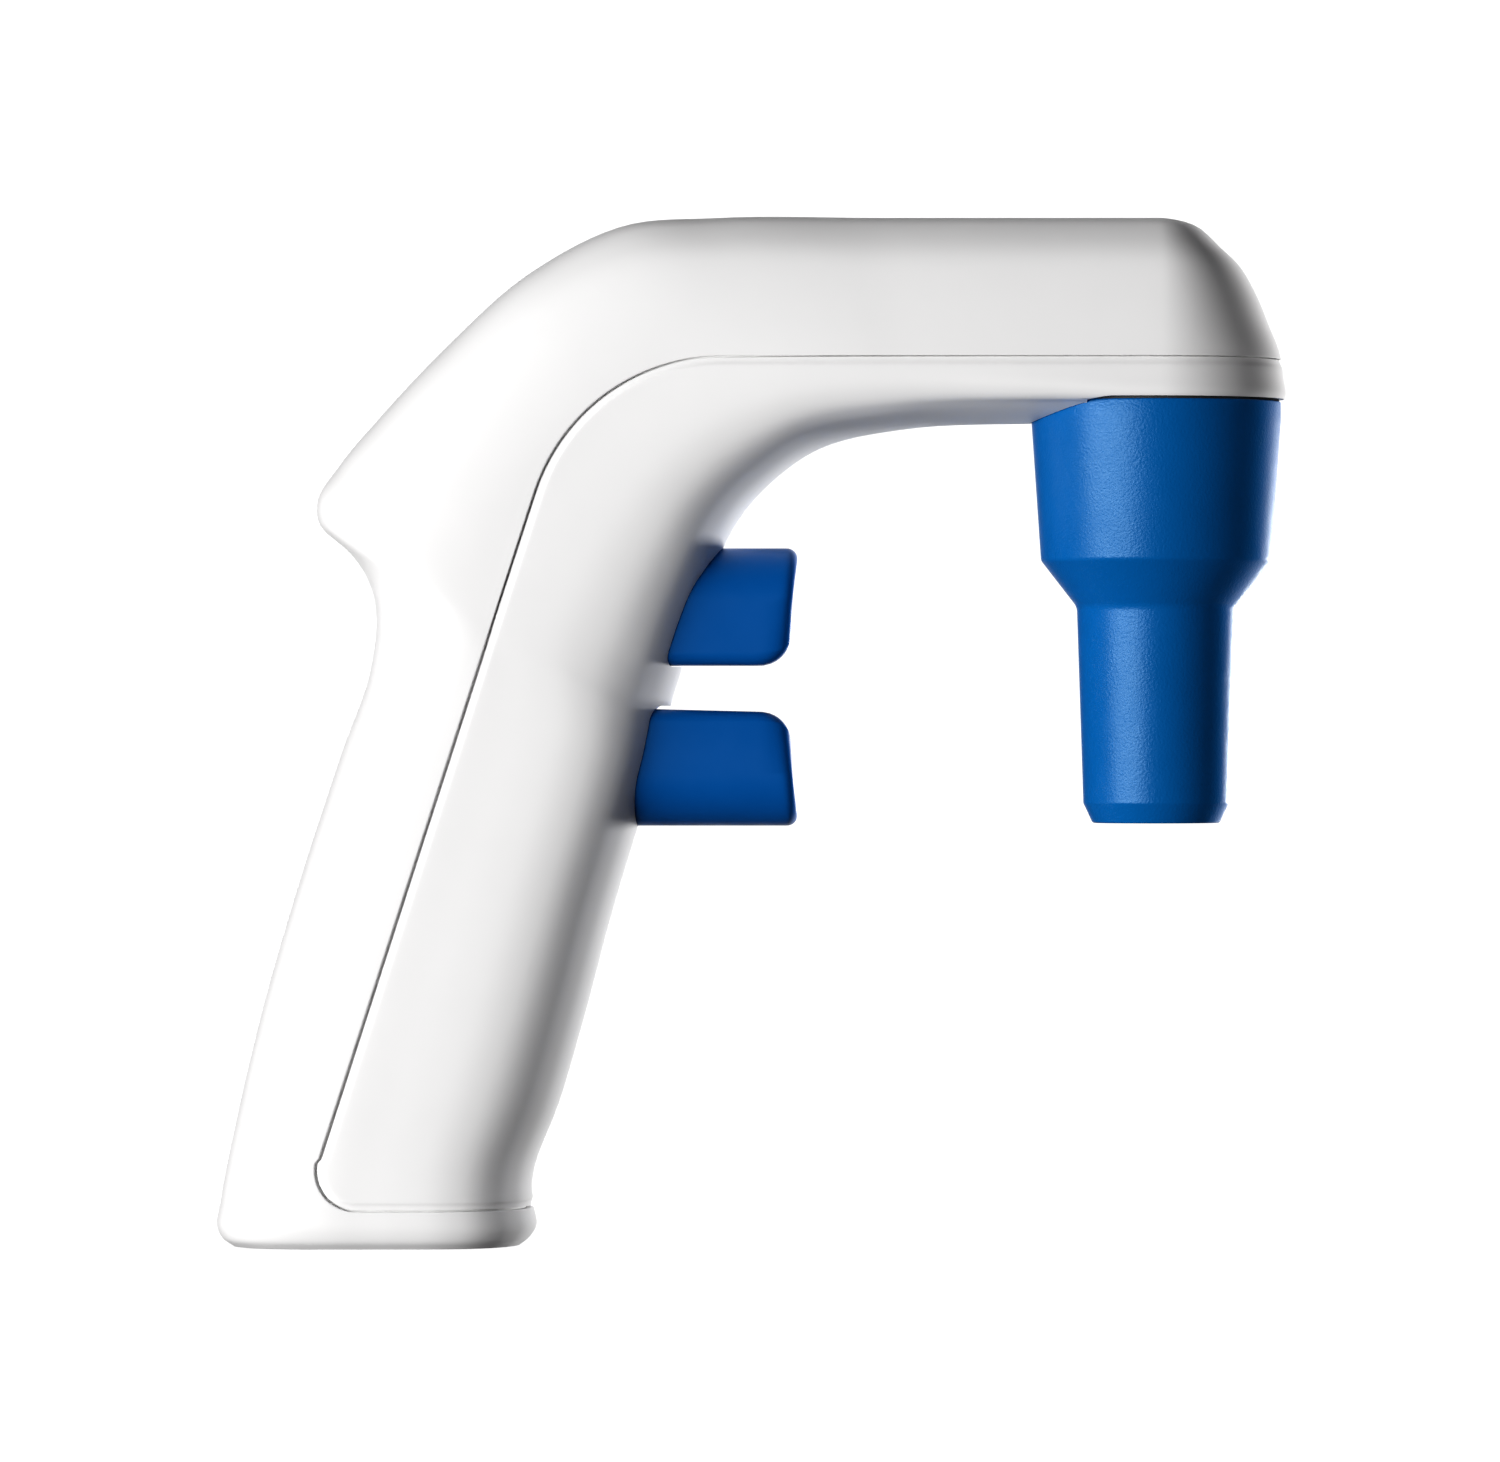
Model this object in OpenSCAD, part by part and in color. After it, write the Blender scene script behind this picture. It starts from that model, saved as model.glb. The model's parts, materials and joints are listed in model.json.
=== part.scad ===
// Motorised pipette controller: a gun-shaped housing of two shells, a nose cone that unscrews and
// grips a glass or plastic pipette, two sprung triggers with their air valves, a diaphragm pump,
// a rechargeable cell and a control board.
// Millimetres. +Z is up, +X runs from the grip towards the nose, Y is across the symmetric housing.
// The origin is the centre of the nose cone's mouth.

/* [Housing] */
// Height of the arm's flat top above the mouth
arm_top = 90.6; // [90:0.1:91.5]
// Half the width of the arm over the nose
arm_half_w = 19.5; // [19.3:0.1:20]
// Half the width of the grip
grip_half_w = 17; // [16.6:0.1:18]
// Wall thickness of both shells
wall = 2.2; // [1.8:0.1:2.4]
// Gap between the two shells along their seam
seam_gap = 0.3; // [0.2:0.05:0.4]
// Height of the seam along the arm
seam_z = 69.9; // [69:0.1:71]
// Radius of the seam where it bends from the arm into the grip
seam_bend_r = 29; // [26:0.5:31]

/* [Triggers] */
// Half the width of a trigger
trigger_half_w = 8.8; // [7:0.1:9.5]
// How far a trigger travels
trigger_travel = 6; // [3:0.5:6]
// Gap around a trigger in its window
window_gap = 0.4; // [0.3:0.05:0.6]

/* [Nose] */
// Radius of the pipette bore in the silicone adapter
pipette_r = 3.9; // [3:0.1:4.5]
// Radius of the nose cone's mouth
mouth_r = 8.4; // [7.5:0.1:8.6]
// Radius of the membrane filter's disc
filter_r = 13.6; // [10:0.1:14]

/* [Pump and power] */
// Radius of the pump motor
motor_r = 8; // [6:0.1:8.5]
// Height of the pump axis above the mouth
pump_z = 77.6; // [77:0.1:78]
// Radius of the rechargeable cell
cell_r = 9.15; // [7:0.05:9.2]
// Length of the rechargeable cell
cell_length = 35.3; // [25:0.1:36]

/* [Hidden] */

$fn = 48;
eps = 0.02; // small overlap or clearance between faces that would coincide
running = 0.08; // radial clearance of a stem or shaft in its bore

// Housing: each station is [outer x, outer z, inner x, inner z, half width, section shape], from the
// nose to the base. Section shape 0 is the nose end, 1 the arm and 2 the grip.
stations = [
    [0, arm_top, 0, 59.9, arm_half_w, 0],
    [-18, arm_top, -18, 59.9, arm_half_w - 0.15, 0.45],
    [-42, arm_top, -38, 59, arm_half_w - 0.5, 1],
    [-66, arm_top, -52, 55.3, arm_half_w - 1, 1.35],
    [-80, 89.4, -58.9, 49.9, grip_half_w + 1, 1.6],
    [-94, 82.3, -63.6, 43.8, grip_half_w + 0.6, 1.8],
    [-106.2, 71.5, -67.1, 35.5, grip_half_w + 0.3, 1.95],
    [-116.4, 60.7, -69.7, 28, grip_half_w + 0.1, 2],
    [-122.6, 53.3, -71.2, 22.8, grip_half_w, 2],
    [-125.7, 48.2, -72.3, 19.3, grip_half_w, 2],
    [-125.4, 44.6, -73, 16.7, grip_half_w, 2],
    [-120.6, 40.5, -74, 12.8, grip_half_w, 2],
    [-117, 34.2, -75.2, 8.2, grip_half_w, 2],
    [-117.3, 25.2, -77.2, 1.2, grip_half_w, 2],
    [-122.2, 10.2, -81.3, -12.4, grip_half_w, 2],
    [-128.1, -7.8, -85.7, -28.9, grip_half_w, 2],
    [-133.4, -25.9, -89.5, -41.8, grip_half_w, 2],
    [-137.7, -43.8, -93.3, -52, grip_half_w + 0.1, 2],
    [-140.2, -56.5, -93.4, -57, grip_half_w + 0.3, 2],
    [-140.7, -60.5, -93, -60.6, grip_half_w + 0.3, 2],
    [-140, -62, -93.9, -62, grip_half_w - 0.3, 2],
    [-138.4, -63.2, -95.4, -63.2, grip_half_w - 1.7, 2]
];
base_z = -63.2;

// Half sections from the outer edge to the inner edge: [depth fraction, half width fraction]
nose_side_section = [[0, 0], [0.004, 0.28], [0.03, 0.5], [0.095, 0.672], [0.2, 0.815],
    [0.36, 0.888], [0.518, 0.933], [0.665, 0.962], [0.79, 0.988], [0.866, 1], [0.884, 0.987],
    [0.908, 0.82], [0.964, 0.52], [0.992, 0.25], [1, 0]];
nose_front_section = [[0, 0], [0.007, 0.155], [0.049, 0.34], [0.142, 0.495], [0.235, 0.645],
    [0.368, 0.768], [0.518, 0.866], [0.668, 0.956], [0.79, 0.985], [0.866, 1], [0.884, 0.987],
    [0.908, 0.82], [0.964, 0.52], [0.992, 0.25], [1, 0]];
arm_section = [[0, 0], [0.004, 0.28], [0.03, 0.5], [0.095, 0.672], [0.2, 0.815],
    [0.36, 0.888], [0.5, 0.926], [0.615, 0.955], [0.72, 0.975], [0.8, 0.965], [0.865, 0.91],
    [0.915, 0.79], [0.955, 0.6], [0.988, 0.32], [1, 0]];
grip_section = [[0, 0], [0.004, 0.25], [0.02, 0.48], [0.06, 0.7], [0.12, 0.86],
    [0.22, 0.96], [0.35, 1], [0.48, 1], [0.6, 0.997], [0.71, 0.98], [0.8, 0.925],
    [0.88, 0.8], [0.94, 0.6], [0.985, 0.3], [1, 0]];
section_last = len(arm_section) - 1;
loft_steps = 2;
nose_steps = 20;

// Seam: along the arm, round the bend, down the grip at this lean from the vertical, then forward
seam_lean = 17.9;
seam_bend_x = -65;
seam_foot = [-119.4, -57.4];
seam_foot_r = 6;

// Nose
cone_top_z = 63.2;
pocket_r = 19;
floor_z = 63.6;
floor_t = 2.2;
socket_r = 14.9;
socket_neck_r = 10.5;
socket_z = 53;
socket_screw_at = 12;
barb_r = 1.6;
nipple_r = 2.6;
adapter_z = 0.4;
lead_in = 0.6;
bore_end = 16.4;
filter_z = 43.4;
filter_t = 5;

// Triggers: [bottom z, top z, x of the flange]
aspirate = [23.6, 41.2, -81.3];
dispense = [-0.4, 17.4, -88];
flange_t = 1.5;
flange_lip = 1.5;
aspirate_axis_z = 31;
dispense_axis_z = 10;
stem_r = 1.5;
stem_groove = 0.35;
seal_at = [-100.2, -103];
seal_r = 0.5;
gland_r = stem_r - stem_groove + 2 * seal_r + 0.07;
stem_end_x = -105;
block_x = [-112.2, -98];
block_half_w = 8.5;
block_z = [1.5, 38];

// Grip frame for the cell and the boards: its origin is the foot of the cell
grip_lean = 17;
cell_at = [-113.5, -52];
board_x = -14;
board_half_w = 11;
board_z = [5, 46];

// Pump stack along X, from the motor's front end back to the barbs
pump_x = -25;
motor_length = 19;
frame_length = 13;
diaphragm_t = 1.2;
valve_plate_t = 2.5;
head_t = 5.8;
pump_half = 9;
pump_screw_at = 7.1;
motor_back = pump_x - motor_length;
frame_back = motor_back - frame_length;
valve_plate_x = frame_back - diaphragm_t;
head_x = valve_plate_x - valve_plate_t;
head_back = head_x - head_t;
shaft_r = 1;
crank_tilt = 7;
crank_pin_r = 0.8;
pump_barb_y = 5;
pump_barb_z = 80;
barb_length = 5;

// Hoses, each from its first barb to its last
hose_r = 2.1;
barb_x = -101;
barb_y = 5.5;
nose_barb_x = -107.5;
suction_route = [[barb_x, barb_y, 38.4], [barb_x, barb_y, 44], [-99.5, barb_y, 51],
    [-94, 5.3, 62], [-86, 5.1, 73], [-80, 5, 78.6], [-75, 5, pump_barb_z],
    [-69.9, 5, pump_barb_z]];
nose_route = [[nose_barb_x, 0, 38.4], [nose_barb_x, 0, 45], [-106, 0, 52], [-100, 0, 60],
    [-89, 0, 65.4], [-76, 0, 66.2], [-58, 0, 66], [-40, 0, 65.9], [-25, 0, 66.7],
    [-17, 0, 70.2], [-10, 0, 76.3], [-4.6, 0, 80.3], [-1, 0, 79.6], [0, 0, 76], [0, 0, 71.2]];

// Housing screws, the status light and the charging inlet
housing_screw_x = -102;
housing_screw_y = 7.5;
status_at = [-88, 86.05];
status_tilt = -29;
inlet_x = -127.5;

// ---- Curves ----

function mix(a, b, t) = a + (b - a) * t;
function span(rows, i) = norm(rows[i + 1] - rows[i]);
function slope(rows, i) =
    i == 0 ? (rows[1] - rows[0]) / span(rows, 0)
    : i == len(rows) - 1 ? (rows[i] - rows[i - 1]) / span(rows, i - 1)
    : let (before = span(rows, i - 1), after = span(rows, i))
        ((rows[i] - rows[i - 1]) * after / before + (rows[i + 1] - rows[i]) * before / after)
        / (before + after);
// A point between rows i and i + 1 on the smooth curve through all the rows
function between(rows, i, t) =
    let (d = span(rows, i))
    rows[i] * (2 * t * t * t - 3 * t * t + 1) + slope(rows, i) * d * (t * t * t - 2 * t * t + t)
    + rows[i + 1] * (3 * t * t - 2 * t * t * t) + slope(rows, i + 1) * d * (t * t * t - t * t);
function smooth(rows, steps) = concat(
    [for (i = [0 : len(rows) - 2], k = [0 : steps - 1]) between(rows, i, k / steps)],
    [rows[len(rows) - 1]]);
function arc(centre, r, from, to, steps) =
    [for (k = [0 : steps]) let (a = mix(from, to, k / steps)) centre + r * [cos(a), sin(a)]];

// ---- Housing loft ----

function section(shape) = [for (k = [0 : section_last])
    shape < 1 ? mix(nose_side_section[k], arm_section[k], shape)
    : mix(arm_section[k], grip_section[k], shape - 1)];

// One half section of a station, inset by the wall, on the side that sign names
function column(row, inset, sign) =
    let (outer = [row[0], row[1]], inner = [row[2], row[3]], depth = norm(inner - outer),
         way = (inner - outer) / depth, half = section(row[5]))
    [for (k = [0 : section_last])
        let (p = outer + way * (inset + half[k][0] * (depth - 2 * inset)))
        [p[0], sign * half[k][1] * (row[4] - inset), p[1]]];

// One half section of the rounded nose end, turned by the angle a from the +Y side
function nose_column(a, inset) =
    let (top = arm_top - inset, depth = arm_top - stations[0][3] - 2 * inset,
         r = arm_half_w - inset)
    [for (k = [0 : section_last])
        let (side = nose_side_section[k], front = nose_front_section[k],
             v = mix(side[0], front[0], sin(a) * sin(a)))
        [front[1] * r * sin(a), side[1] * r * cos(a), top - depth * v]];

module casing(inset) {
    rows = smooth(stations, loft_steps);
    last = len(rows) - 1;
    columns = concat(
        [for (i = [last : -1 : 0]) column(rows[i], inset, 1)],
        [for (k = [1 : nose_steps - 1]) nose_column(180 * k / nose_steps, inset)],
        [for (i = [0 : last]) column(rows[i], inset, -1)]);
    count = len(columns);
    per = section_last + 1;
    // The two centre lines are shared by both sides and by the whole nose end
    function id(j, k) =
        (k == 0 || k == section_last ? min(j, count - 1 - j, last) : j) * per + k;
    sides = [for (j = [0 : count - 2], k = [0 : section_last - 1])
        let (a = id(j, k), b = id(j + 1, k), c = id(j + 1, k + 1), d = id(j, k + 1))
        each concat(a == b ? [] : [[a, b, c]], c == d ? [] : [[a, c, d]])];
    cap = concat([for (k = [section_last : -1 : 0]) id(0, k)],
                 [for (k = [1 : section_last - 1]) id(count - 1, k)]);
    polyhedron([for (c = columns) each c], concat(sides, [cap]));
}

// Everything in front of the seam, seen from the side, moved in from the seam by shift
module front_side(shift) {
    bend_centre = [seam_bend_x, seam_z - seam_bend_r];
    foot_centre = seam_foot + [0, seam_foot_r];
    rotate([90, 0, 0])
        linear_extrude(80, center = true)
            offset(delta = -shift)
                polygon(concat([[60, seam_z]],
                    arc(bend_centre, seam_bend_r, 90, 180 - seam_lean, 10),
                    arc(foot_centre, seam_foot_r, 180 - seam_lean, 270, 6),
                    [[60, seam_foot[1]]]));
}

module hollow_casing() {
    difference() {
        casing(0);
        intersection() {
            casing(wall);
            translate([-150, -30, base_z + wall])
                cube([180, 60, 200]);
        }
    }
}

// ---- Housing shells ----

module rear_housing() {
    color("whitesmoke")
        resize([0, 0, 0])
            difference() {
                union() {
                    difference() {
                        hollow_casing();
                        front_side(-seam_gap / 2);
                    }
                    // Ribs under the top that locate the pump bracket
                    for (y = [-7, 7])
                        translate([pump_x - 12, y - 0.8, pump_z + pump_half + 0.15])
                            cube([6, 1.6, arm_top - 1 - pump_z - pump_half]);
                }
                translate([inlet_x, 0, base_z - 1])
                    cylinder(r = 4.3, h = 6);
                for (y = [-housing_screw_y, housing_screw_y])
                    translate([housing_screw_x, y, base_z - 1]) {
                        cylinder(r = 1.5, h = 6);
                        cylinder(r = 2.8, h = 2);
                    }
                status_frame()
                    translate([0, 0, -6])
                        cylinder(r = 1.6, h = 12);
            }
}

module front_housing() {
    color("whitesmoke")
        resize([0, 0, 0])
            difference() {
                union() {
                    intersection() {
                        union() {
                            hollow_casing();
                            intersection() {
                                casing(1);
                                for (y = [-housing_screw_y, housing_screw_y])
                                    translate([housing_screw_x, y, -62]) {
                                        cylinder(r = 2.6, h = 12);
                                        translate([0, -0.8, 0])
                                            cube([12, 1.6, 12]);
                                    }
                            }
                            // Floor that closes the arm over the nose cone
                            intersection() {
                                casing(1);
                                translate([0, 0, floor_z - 1])
                                    cylinder(r = 20.5, h = floor_t + 1);
                            }
                        }
                        front_side(seam_gap / 2);
                    }
                }
                translate([0, 0, 50])
                    cylinder(r = pocket_r, h = floor_z - 50);
                translate([0, 0, 60])
                    cylinder(r = socket_neck_r + 0.1, h = 10);
                for (a = [0, 120, 240])
                    rotate(a)
                        translate([socket_screw_at, 0, 60])
                            cylinder(r = 0.9, h = 10);
                for (y = [-housing_screw_y, housing_screw_y])
                    translate([housing_screw_x, y, -62])
                        cylinder(r = 1.2, h = 11);
                trigger_window(aspirate, 1);
                trigger_window(dispense, -1);
            }
}

module status_frame() {
    translate([status_at[0], 0, status_at[1]])
        rotate([0, status_tilt, 0])
            children();
}

// ---- Triggers ----

// Front view of a trigger, arched at its outer end (way 1 arches the top, -1 the bottom)
module trigger_front(span_z, way, grow) {
    half = trigger_half_w + grow;
    arch = 8 + grow;
    corner = 2.2 + grow;
    flat_z = (way > 0 ? span_z[0] : span_z[1]) - way * grow;
    arch_z = (way > 0 ? span_z[1] : span_z[0]) + way * grow - way * arch;
    polygon(concat(
        [for (k = [0 : 16]) let (a = 180 * k / 16)
            [half * cos(a), arch_z + way * arch * sin(a)]],
        arc([-half + corner, flat_z + way * corner], corner, 180, 180 + way * 90, 4),
        arc([half - corner, flat_z + way * corner], corner, way * 270, way * 360, 4)));
}

module along_x(from, length) {
    translate([from, 0, 0])
        rotate([90, 0, 90])
            linear_extrude(length)
                children();
}

module trigger_window(trigger, way) {
    along_x(-95, 45)
        trigger_front(trigger, way, window_gap);
}

module trigger_flange(trigger, way) {
    along_x(trigger[2], flange_t)
        trigger_front(trigger, way, flange_lip);
}

// Side view of the finger pad: rounded corners and a slightly hollow face
module trigger_side(trigger, way) {
    low = trigger[0];
    high = trigger[1];
    back = trigger[2] + flange_t - eps;
    tip_x = -53.7;
    small = 1.3;
    big = 4.6;
    tip = way > 0 ? high : low;
    heel = way > 0 ? low : high - 0.7;
    rotate([90, 0, 0])
        linear_extrude(40, center = true)
            polygon(concat([[back, tip - way * 0.1]],
                arc([tip_x - small - 0.1, tip - way * small], small, way * 90, 0, 5),
                [[tip_x - 0.5, tip - way * 5], [tip_x - 0.9, tip - way * 9]],
                arc([tip_x - 1.1 - big, heel + way * big], big, 0, -way * 90, 6),
                [[back, way > 0 ? low : high]]));
}

module trigger(trigger, way, axis_z) {
    difference() {
        union() {
            intersection() {
                along_x(-100, 60)
                    trigger_front(trigger, way, 0);
                trigger_side(trigger, way);
            }
            trigger_flange(trigger, way);
        }
        // Socket for the valve stem, and the pocket for the magnet beside it
        translate([trigger[2] - 1, 0, axis_z])
            rotate([0, 90, 0])
                cylinder(r = stem_r, h = 9);
        translate([trigger[2] - 1, 5.5, axis_z])
            rotate([0, 90, 0])
                cylinder(r = 1.5, h = 2.6);
    }
}

module aspirate_trigger() {
    color("mediumblue")
        trigger(aspirate, 1, aspirate_axis_z);
}

module dispense_trigger() {
    color("mediumblue")
        trigger(dispense, -1, dispense_axis_z);
}

// ---- Valves ----

module valve_stem(start_x, axis_z) {
    translate([start_x + 8 - eps, 0, axis_z])
        rotate([0, -90, 0])
            rotate_extrude()
                valve_stem_outline(start_x + 8);
}

// Half outline of a stem with a groove for each seal and a pointed metering end
module valve_stem_outline(start_x) {
    length = start_x - stem_end_x;
    grooves = [for (x = seal_at) start_x - x];
    polygon(concat([[0, 0], [stem_r, 0]],
        [for (g = grooves) each [
            [stem_r, g - seal_r], [stem_r - stem_groove, g - seal_r],
            [stem_r - stem_groove, g + seal_r], [stem_r, g + seal_r]]],
        [[stem_r, length - 1.5], [0.5, length], [0, length]]));
}

module aspirate_valve_stem() {
    color("silver")
        valve_stem(aspirate[2], aspirate_axis_z);
}

module dispense_valve_stem() {
    color("silver")
        valve_stem(dispense[2], dispense_axis_z);
}

module stem_seals(axis_z) {
    for (x = seal_at)
        translate([x, 0, axis_z])
            rotate([0, 90, 0])
                rotate_extrude()
                    translate([stem_r - stem_groove + seal_r, 0])
                        circle(r = seal_r - eps);
}

module aspirate_stem_seals() {
    color("dimgray")
        stem_seals(aspirate_axis_z);
}

module dispense_stem_seals() {
    color("dimgray")
        stem_seals(dispense_axis_z);
}

// A tube of the given radius along a list of points, with rings across the path
module sweep(points, r, sides) {
    last = len(points) - 1;
    function heading(i) =
        let (d = points[min(i + 1, last)] - points[max(i - 1, 0)]) d / norm(d);
    function across(i) =
        let (h = heading(i), ref = abs(h[1]) < 0.8 ? [0, 1, 0] : [0, 0, 1], c = cross(h, ref))
        c / norm(c);
    rings = [for (i = [0 : last])
        let (u = across(i), v = cross(heading(i), u))
        each [for (k = [0 : sides - 1])
            points[i] + r * (cos(360 * k / sides) * u + sin(360 * k / sides) * v)]];
    walls = [for (i = [0 : last - 1], k = [0 : sides - 1])
        let (a = i * sides + k, b = i * sides + (k + 1) % sides)
        each [[a, a + sides, b + sides], [a, b + sides, b]]];
    polyhedron(rings, concat(walls,
        [[for (k = [0 : sides - 1]) k]],
        [[for (k = [sides - 1 : -1 : 0]) last * sides + k]]));
}

// A compression spring along X round the valve stem, with closed ends
module spring(from_x, to_x, axis_z, turns) {
    wire_r = 0.35;
    coil_r = 2.6;
    per_turn = 12;
    steps = turns * per_turn;
    length = to_x - from_x - 2 * wire_r;
    points = [for (i = [0 : steps])
        let (a = 360 * i / per_turn, t = i / steps, lift = mix(t, t * t * (3 - 2 * t), 0.5))
        [from_x + wire_r + length * lift, coil_r * cos(a), axis_z + coil_r * sin(a)]];
    sweep(points, wire_r, 6);
}

module aspirate_spring() {
    color("silver")
        spring(block_x[1], aspirate[2], aspirate_axis_z, 7);
}

module dispense_spring() {
    color("silver")
        spring(block_x[1], dispense[2], dispense_axis_z, 4);
}

module magnet(trigger, axis_z) {
    translate([trigger[2], 5.5, axis_z])
        rotate([0, 90, 0])
            cylinder(r = 1.5 - eps, h = 1.5);
}

module aspirate_magnet() {
    color("gray")
        magnet(aspirate, aspirate_axis_z);
}

module dispense_magnet() {
    color("gray")
        magnet(dispense, dispense_axis_z);
}

// A narrow board on the side of the valve block, with one field sensor behind each magnet
module sensor_board() {
    color("darkgreen") {
        difference() {
            translate([block_x[0] + 1, block_half_w + 0.05, block_z[0] + 2])
                cube([block_x[1] - block_x[0] - 2, 1, block_z[1] - block_z[0] - 4]);
            block_screw_places()
                cylinder(r = 1.15, h = 40, center = true);
        }
        for (z = [dispense_axis_z, aspirate_axis_z])
            translate([block_x[1] - 1 - eps, block_half_w + 0.05, z - 1.5])
                cube([2.6, 1, 3]);
    }
}

// Both screws go in from the +Y side, between the two glands
block_screw_z = [16, 25];
block_screw_x = -104.3;
module block_screw_places() {
    for (z = block_screw_z)
        translate([block_screw_x, block_half_w + 1.05, z])
            rotate([-90, 0, 0])
                children();
}

module barb() {
    translate([0, 0, -eps])
        difference() {
            union() {
                cylinder(r = barb_r, h = barb_length);
                for (z = [1.6, 3.4])
                    translate([0, 0, z])
                        cylinder(r1 = barb_r + 0.35, r2 = barb_r, h = 1.2);
            }
            translate([0, 0, -1])
                cylinder(r = 0.8, h = barb_length + 2);
        }
}

module valve_block() {
    block_w = block_x[1] - block_x[0];
    block_h = block_z[1] - block_z[0];
    top = block_z[1];
    color("gainsboro") {
        difference() {
            translate([block_x[0], -block_half_w, block_z[0]])
                cube([block_w, 2 * block_half_w, block_h]);
            // Glands for the two valve stems
            for (z = [dispense_axis_z, aspirate_axis_z])
                translate([block_x[0] + 1, 0, z])
                    rotate([0, 90, 0])
                        cylinder(r = gland_r, h = block_w);
            // Air ways down from the barbs, the middle one shared by both glands
            for (y = [-barb_y, barb_y])
                translate([barb_x, y, dispense_axis_z - 2])
                    cylinder(r = 0.8, h = block_h);
            translate([nose_barb_x, 0, dispense_axis_z - 2])
                cylinder(r = 0.8, h = block_h);
            // Cross drillings: suction to the upper gland, pressure to the lower one
            translate([barb_x, 0, aspirate_axis_z])
                rotate([-90, 0, 0])
                    cylinder(r = 0.7, h = barb_y);
            translate([barb_x, 0, dispense_axis_z])
                rotate([90, 0, 0])
                    cylinder(r = 0.7, h = barb_y);
            block_screw_places()
                cylinder(r = 1, h = 28, center = true);
        }
        for (y = [-barb_y, barb_y])
            translate([barb_x, y, top])
                barb();
        translate([nose_barb_x, 0, top])
            barb();
    }
}

// A pan head screw along +Z: the head's underside is at z = 0 and the shank points down
module screw(r, length, head_r, head_h) {
    difference() {
        union() {
            translate([0, 0, -length])
                cylinder(r = r, h = length + eps);
            cylinder(r1 = head_r, r2 = head_r * 0.8, h = head_h);
        }
        translate([0, 0, head_h - 0.6 * head_h])
            cylinder(r = head_r * 0.45, h = head_h, $fn = 6);
    }
}

module valve_block_screws() {
    color("silver")
        block_screw_places()
            screw(1 - eps, 13, 1.9, 1.2);
}

// ---- Nose ----

module nose_cone() {
    color("mediumblue")
        rotate_extrude($fn = 96)
            polygon([[mouth_r, 0], [9.3, 0], [10.4, 1.9], [10.9, 3.1], [11.4, 17], [11.8, 30.8],
                [12.2, 32.7], [16.1, 37.9], [17.1, 39.8], [17.35, 41.4], [17.9, 49], [18.4, 56],
                [18.7, 60.5], [18.7, cone_top_z], [15.3, cone_top_z], [15.3, 51.5], [14.6, 50.6],
                [14.6, 40.2], [14.3, 39.2], [9.6, 33.3], [9.4, 30], [9, 3], [mouth_r, 2.4]]);
}

module pipette_adapter() {
    color("silver")
        difference() {
            rotate_extrude()
                polygon([[0, adapter_z], [7.7, adapter_z], [8.05, adapter_z + 0.4], [8.05, 2.9],
                    [8.65, 3.7], [9, 30], [9.2, 33.4], [13.8, 39.4], [14.1, 40.5],
                    [14.1, filter_z - eps], [0, filter_z - eps]]);
            // Lead-in, then the straight bore that holds the pipette, then the neck
            translate([0, 0, adapter_z])
                cylinder(r1 = pipette_r + lead_in, r2 = pipette_r, h = lead_in);
            translate([0, 0, adapter_z - 1])
                cylinder(r = pipette_r, h = bore_end - adapter_z + 1);
            translate([0, 0, bore_end - eps])
                cylinder(r1 = pipette_r, r2 = 1.6, h = 6);
            translate([0, 0, bore_end])
                cylinder(r = 1.6, h = filter_z - bore_end);
            translate([0, 0, filter_z - 8.2])
                cylinder(r = nipple_r + eps, h = 10);
        }
}

module membrane_filter() {
    color("white")
        difference() {
            rotate_extrude()
                polygon([[0, filter_z - 8], [nipple_r - 0.3, filter_z - 8],
                    [nipple_r, filter_z - 7.4], [nipple_r, filter_z],
                    [filter_r - 0.6, filter_z], [filter_r, filter_z + 0.6],
                    [filter_r, filter_z + filter_t - 0.6], [filter_r - 0.6, filter_z + filter_t],
                    [nipple_r, filter_z + filter_t], [nipple_r, filter_z + filter_t + 8.4],
                    [nipple_r - 0.3, filter_z + filter_t + 9],
                    [0, filter_z + filter_t + 9]]);
            translate([0, 0, filter_z - 9])
                cylinder(r = 1.1, h = 30);
        }
}

// The fitting under the arm that the nose cone screws onto
module nose_socket() {
    color("gainsboro")
        difference() {
            union() {
                translate([0, 0, socket_z])
                    cylinder(r = socket_r, h = floor_z - eps - socket_z);
                translate([0, 0, socket_z + 1])
                    cylinder(r = socket_neck_r, h = 14);
                translate([0, 0, 60])
                    cylinder(r = 4, h = 11.2);
                translate([0, 0, 71.2])
                    barb();
            }
            translate([0, 0, socket_z - 1])
                cylinder(r = nipple_r + running, h = 8.5);
            translate([0, 0, socket_z - 1])
                cylinder(r = 4.7, h = 3);
            cylinder(r = 0.8, h = 90);
            for (a = [0, 120, 240])
                rotate(a)
                    translate([socket_screw_at, 0, socket_z - 1]) {
                        cylinder(r = 1, h = 20);
                        cylinder(r = 2.1, h = 3.2);
                    }
        }
}

module filter_seal() {
    color("dimgray")
        translate([0, 0, socket_z + 1])
            rotate_extrude()
                translate([nipple_r + running + 1, 0])
                    circle(r = 0.96);
}

module nose_socket_screws() {
    color("silver")
        for (a = [0, 120, 240])
            rotate(a)
                translate([socket_screw_at, 0, socket_z + 2.2])
                    rotate([180, 0, 0])
                        screw(0.9 - eps, 11, 1.9, 1.4);
}

// ---- Pump ----

module pump_square(x, length) {
    translate([x - length, 0, pump_z])
        rotate([90, 0, 90])
            linear_extrude(length)
                rounded_square(pump_half, 3);
}

module rounded_square(half, r) {
    polygon([for (q = [0 : 3]) each arc((half - r) * [cos(90 * q) - sin(90 * q),
        sin(90 * q) + cos(90 * q)], r, 90 * q, 90 * q + 90, 5)]);
}

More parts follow.
